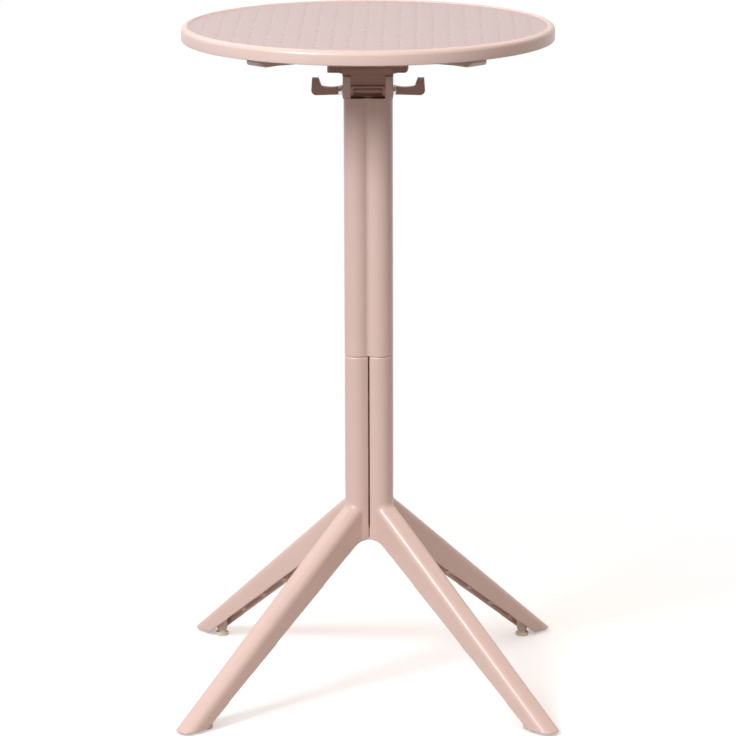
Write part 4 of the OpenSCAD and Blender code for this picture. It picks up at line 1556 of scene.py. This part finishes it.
@dataclass
class Studio:
    """The floor, the lamps and the camera, in metres, with radii and tones of the floor's fade."""

    distance: float = 6.3349
    height: float = 1.9883
    pitch: float = 0.2259
    roll: float = -0.003
    orbit: float = math.radians(0.85)
    focal_px: float = 3972.5
    frame_px: float = 736.0
    centre_px: float = 369.05
    sensor: float = 36.0
    floor_half: float = 30.0
    near_tone: float = 0.56
    far_tone: float = 0.08
    shown_tone: float = 0.78
    floor_glow: float = 0.42
    near_r: float = 0.6
    far_r: float = 1.5
    white_near_r: float = 0.45
    white_far_r: float = 1.25
    sky: Colour = (0.30, 0.210, 0.165)
    cool: Colour = (0.925, 1.0, 1.085)
    warm: Colour = (1.0, 0.93, 0.86)
    lamp_distance: float = 4.2
    aim_z: float = 0.8
    box_powers: tuple[float, ...] = (16.0, 34.0, 34.0, 16.0)

    def camera(self) -> None:
        """Sets the camera where the photograph was taken from."""
        data = bpy.data.cameras.new("camera")
        data.sensor_width = self.sensor
        data.lens = self.focal_px / self.frame_px * self.sensor
        data.shift_x = (self.frame_px / 2 - self.centre_px) / self.frame_px
        data.clip_start, data.clip_end = 0.1, 100.0
        made = bpy.data.objects.new("camera", data)
        bpy.context.scene.collection.objects.link(made)
        place = Matrix.Translation((0.0, -self.distance, self.height))
        tilt = Matrix.Rotation(math.pi / 2 - self.pitch, 4, "X")
        orbit, roll = Matrix.Rotation(self.orbit, 4, "Z"), Matrix.Rotation(self.roll, 4, "Z")
        made.matrix_world = orbit @ place @ tilt @ roll
        bpy.context.scene.camera = made

    def floor(self) -> None:
        """Lays a pale floor that keeps the table's shadow near it, fades to white and is clear from below."""
        half = self.floor_half
        bm = bmesh.new()
        places = ((-half, -half), (half, -half), (half, half), (-half, half))
        bm.faces.new([bm.verts.new((x, y, 0.0)) for x, y in places])
        mesh = bpy.data.meshes.new("floor")
        bm.to_mesh(mesh)
        bm.free()
        made = bpy.data.objects.new("floor", mesh)
        bpy.context.scene.collection.objects.link(made)
        paint = bpy.data.materials.new("studio_floor")
        paint.use_nodes = True
        paint.node_tree.nodes.clear()
        graph = Graph(paint.node_tree)
        length = graph.length(graph.add("ShaderNodeTexCoord").outputs["Object"])
        fade, white_fade = (
            graph.value(graph.add(
                "ShaderNodeMapRange", {"interpolation_type": "SMOOTHSTEP"},
                {"Value": length, "From Min": near, "From Max": far},
            ))
            for near, far in ((self.near_r, self.far_r), (self.white_near_r, self.white_far_r))
        )
        seen = self.seen(graph)
        tone = fade * (self.far_tone - self.near_tone) + self.near_tone
        tone = tone + seen * (self.shown_tone - tone)
        plain = graph.add("ShaderNodeBsdfDiffuse", None, {"Color": tone}).outputs[0]
        glow, white = (
            graph.add("ShaderNodeEmission", None, {"Color": WHITE, "Strength": strength}).outputs[0]
            for strength in (seen * self.floor_glow, 1.0)
        )
        near = graph.add("ShaderNodeAddShader", None, {0: plain, 1: glow}).outputs[0]
        both = graph.add("ShaderNodeMixShader", None, {0: white_fade * seen, 1: near, 2: white}).outputs[0]
        below = graph.add("ShaderNodeNewGeometry").outputs["Backfacing"]
        clear = graph.add("ShaderNodeBsdfTransparent").outputs[0]
        shown = graph.add("ShaderNodeMixShader", None, {0: below, 1: both, 2: clear})
        graph.add("ShaderNodeOutputMaterial", None, {"Surface": shown.outputs[0]})
        mesh.materials.append(paint)

    @staticmethod
    def seen(graph: Graph) -> Value:
        """Tells the rays by which a thing is seen from those that only light something.

        Args:
            graph: a material's or the world's graph.

        Returns:
            One for rays from the camera, also after a mirror or through glass, and zero for the others.
        """
        path = graph.add("ShaderNodeLightPath")
        glossy = graph.value(path, "Is Camera Ray") + graph.value(path, "Is Glossy Ray")
        return glossy + graph.value(path, "Is Transmission Ray")

    def world(self) -> None:
        """Makes the surroundings white where they are seen, and dim and warm where they light."""
        made = bpy.data.worlds.new("surroundings")
        bpy.context.scene.world = made
        made.use_nodes = True
        made.node_tree.nodes.clear()
        graph = Graph(made.node_tree)
        colour = Finish.blend(graph, self.seen(graph), self.sky, WHITE)
        back = graph.add("ShaderNodeBackground", None, {"Color": colour, "Strength": 1.0})
        graph.add("ShaderNodeOutputWorld", None, {"Surface": back.outputs[0]})

    def lamp(
        self, name: str, azimuth: float, elevation: float, size: float, power: float, colour: Colour
    ) -> None:
        """Hangs a square soft lamp that looks at the table.

        Args:
            name: the lamp's name.
            azimuth: degrees round from the front, to the right.
            elevation: degrees above the point that it looks at.
            size: length of its side in metres.
            power: its power in watts.
            colour: its tint.
        """
        aim = Vector((0.0, 0.0, self.aim_z))
        turn, rise = math.radians(azimuth), math.radians(elevation)
        way = Vector((math.sin(turn) * math.cos(rise), -math.cos(turn) * math.cos(rise), math.sin(rise)))
        data = bpy.data.lights.new(name, "AREA")
        data.size = size
        data.energy = power
        data.color = colour
        made = bpy.data.objects.new(name, data)
        bpy.context.scene.collection.objects.link(made)
        made.location = aim + way * self.lamp_distance
        made.rotation_mode = "QUATERNION"
        made.rotation_quaternion = (-way).to_track_quat("-Z", "Y")

    def build(self) -> None:
        """Sets up the whole studio."""
        scene = bpy.context.scene
        scene.view_settings.view_transform = "Standard"
        self.camera()
        self.floor()
        self.world()
        self.lamp("key", -42.0, 33.0, 1.3, 110.0, self.cool)
        self.lamp("front", 0.0, 32.0, 3.0, 42.0, self.cool)
        for k, power in enumerate(self.box_powers):
            self.lamp(f"softbox_{k}", 45.0 + 90.0 * k, 45.0, 3.0, power, self.warm)


def main() -> None:
    """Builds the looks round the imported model."""
    logging.basicConfig(level=logging.INFO, format="%(message)s")
    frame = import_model()
    Studio().build()
    for part in (TableTop(frame), Castings(frame), Legs(frame), Hardware(frame), Feet(frame)):
        part.build()


if __name__ == "__main__":
    main()
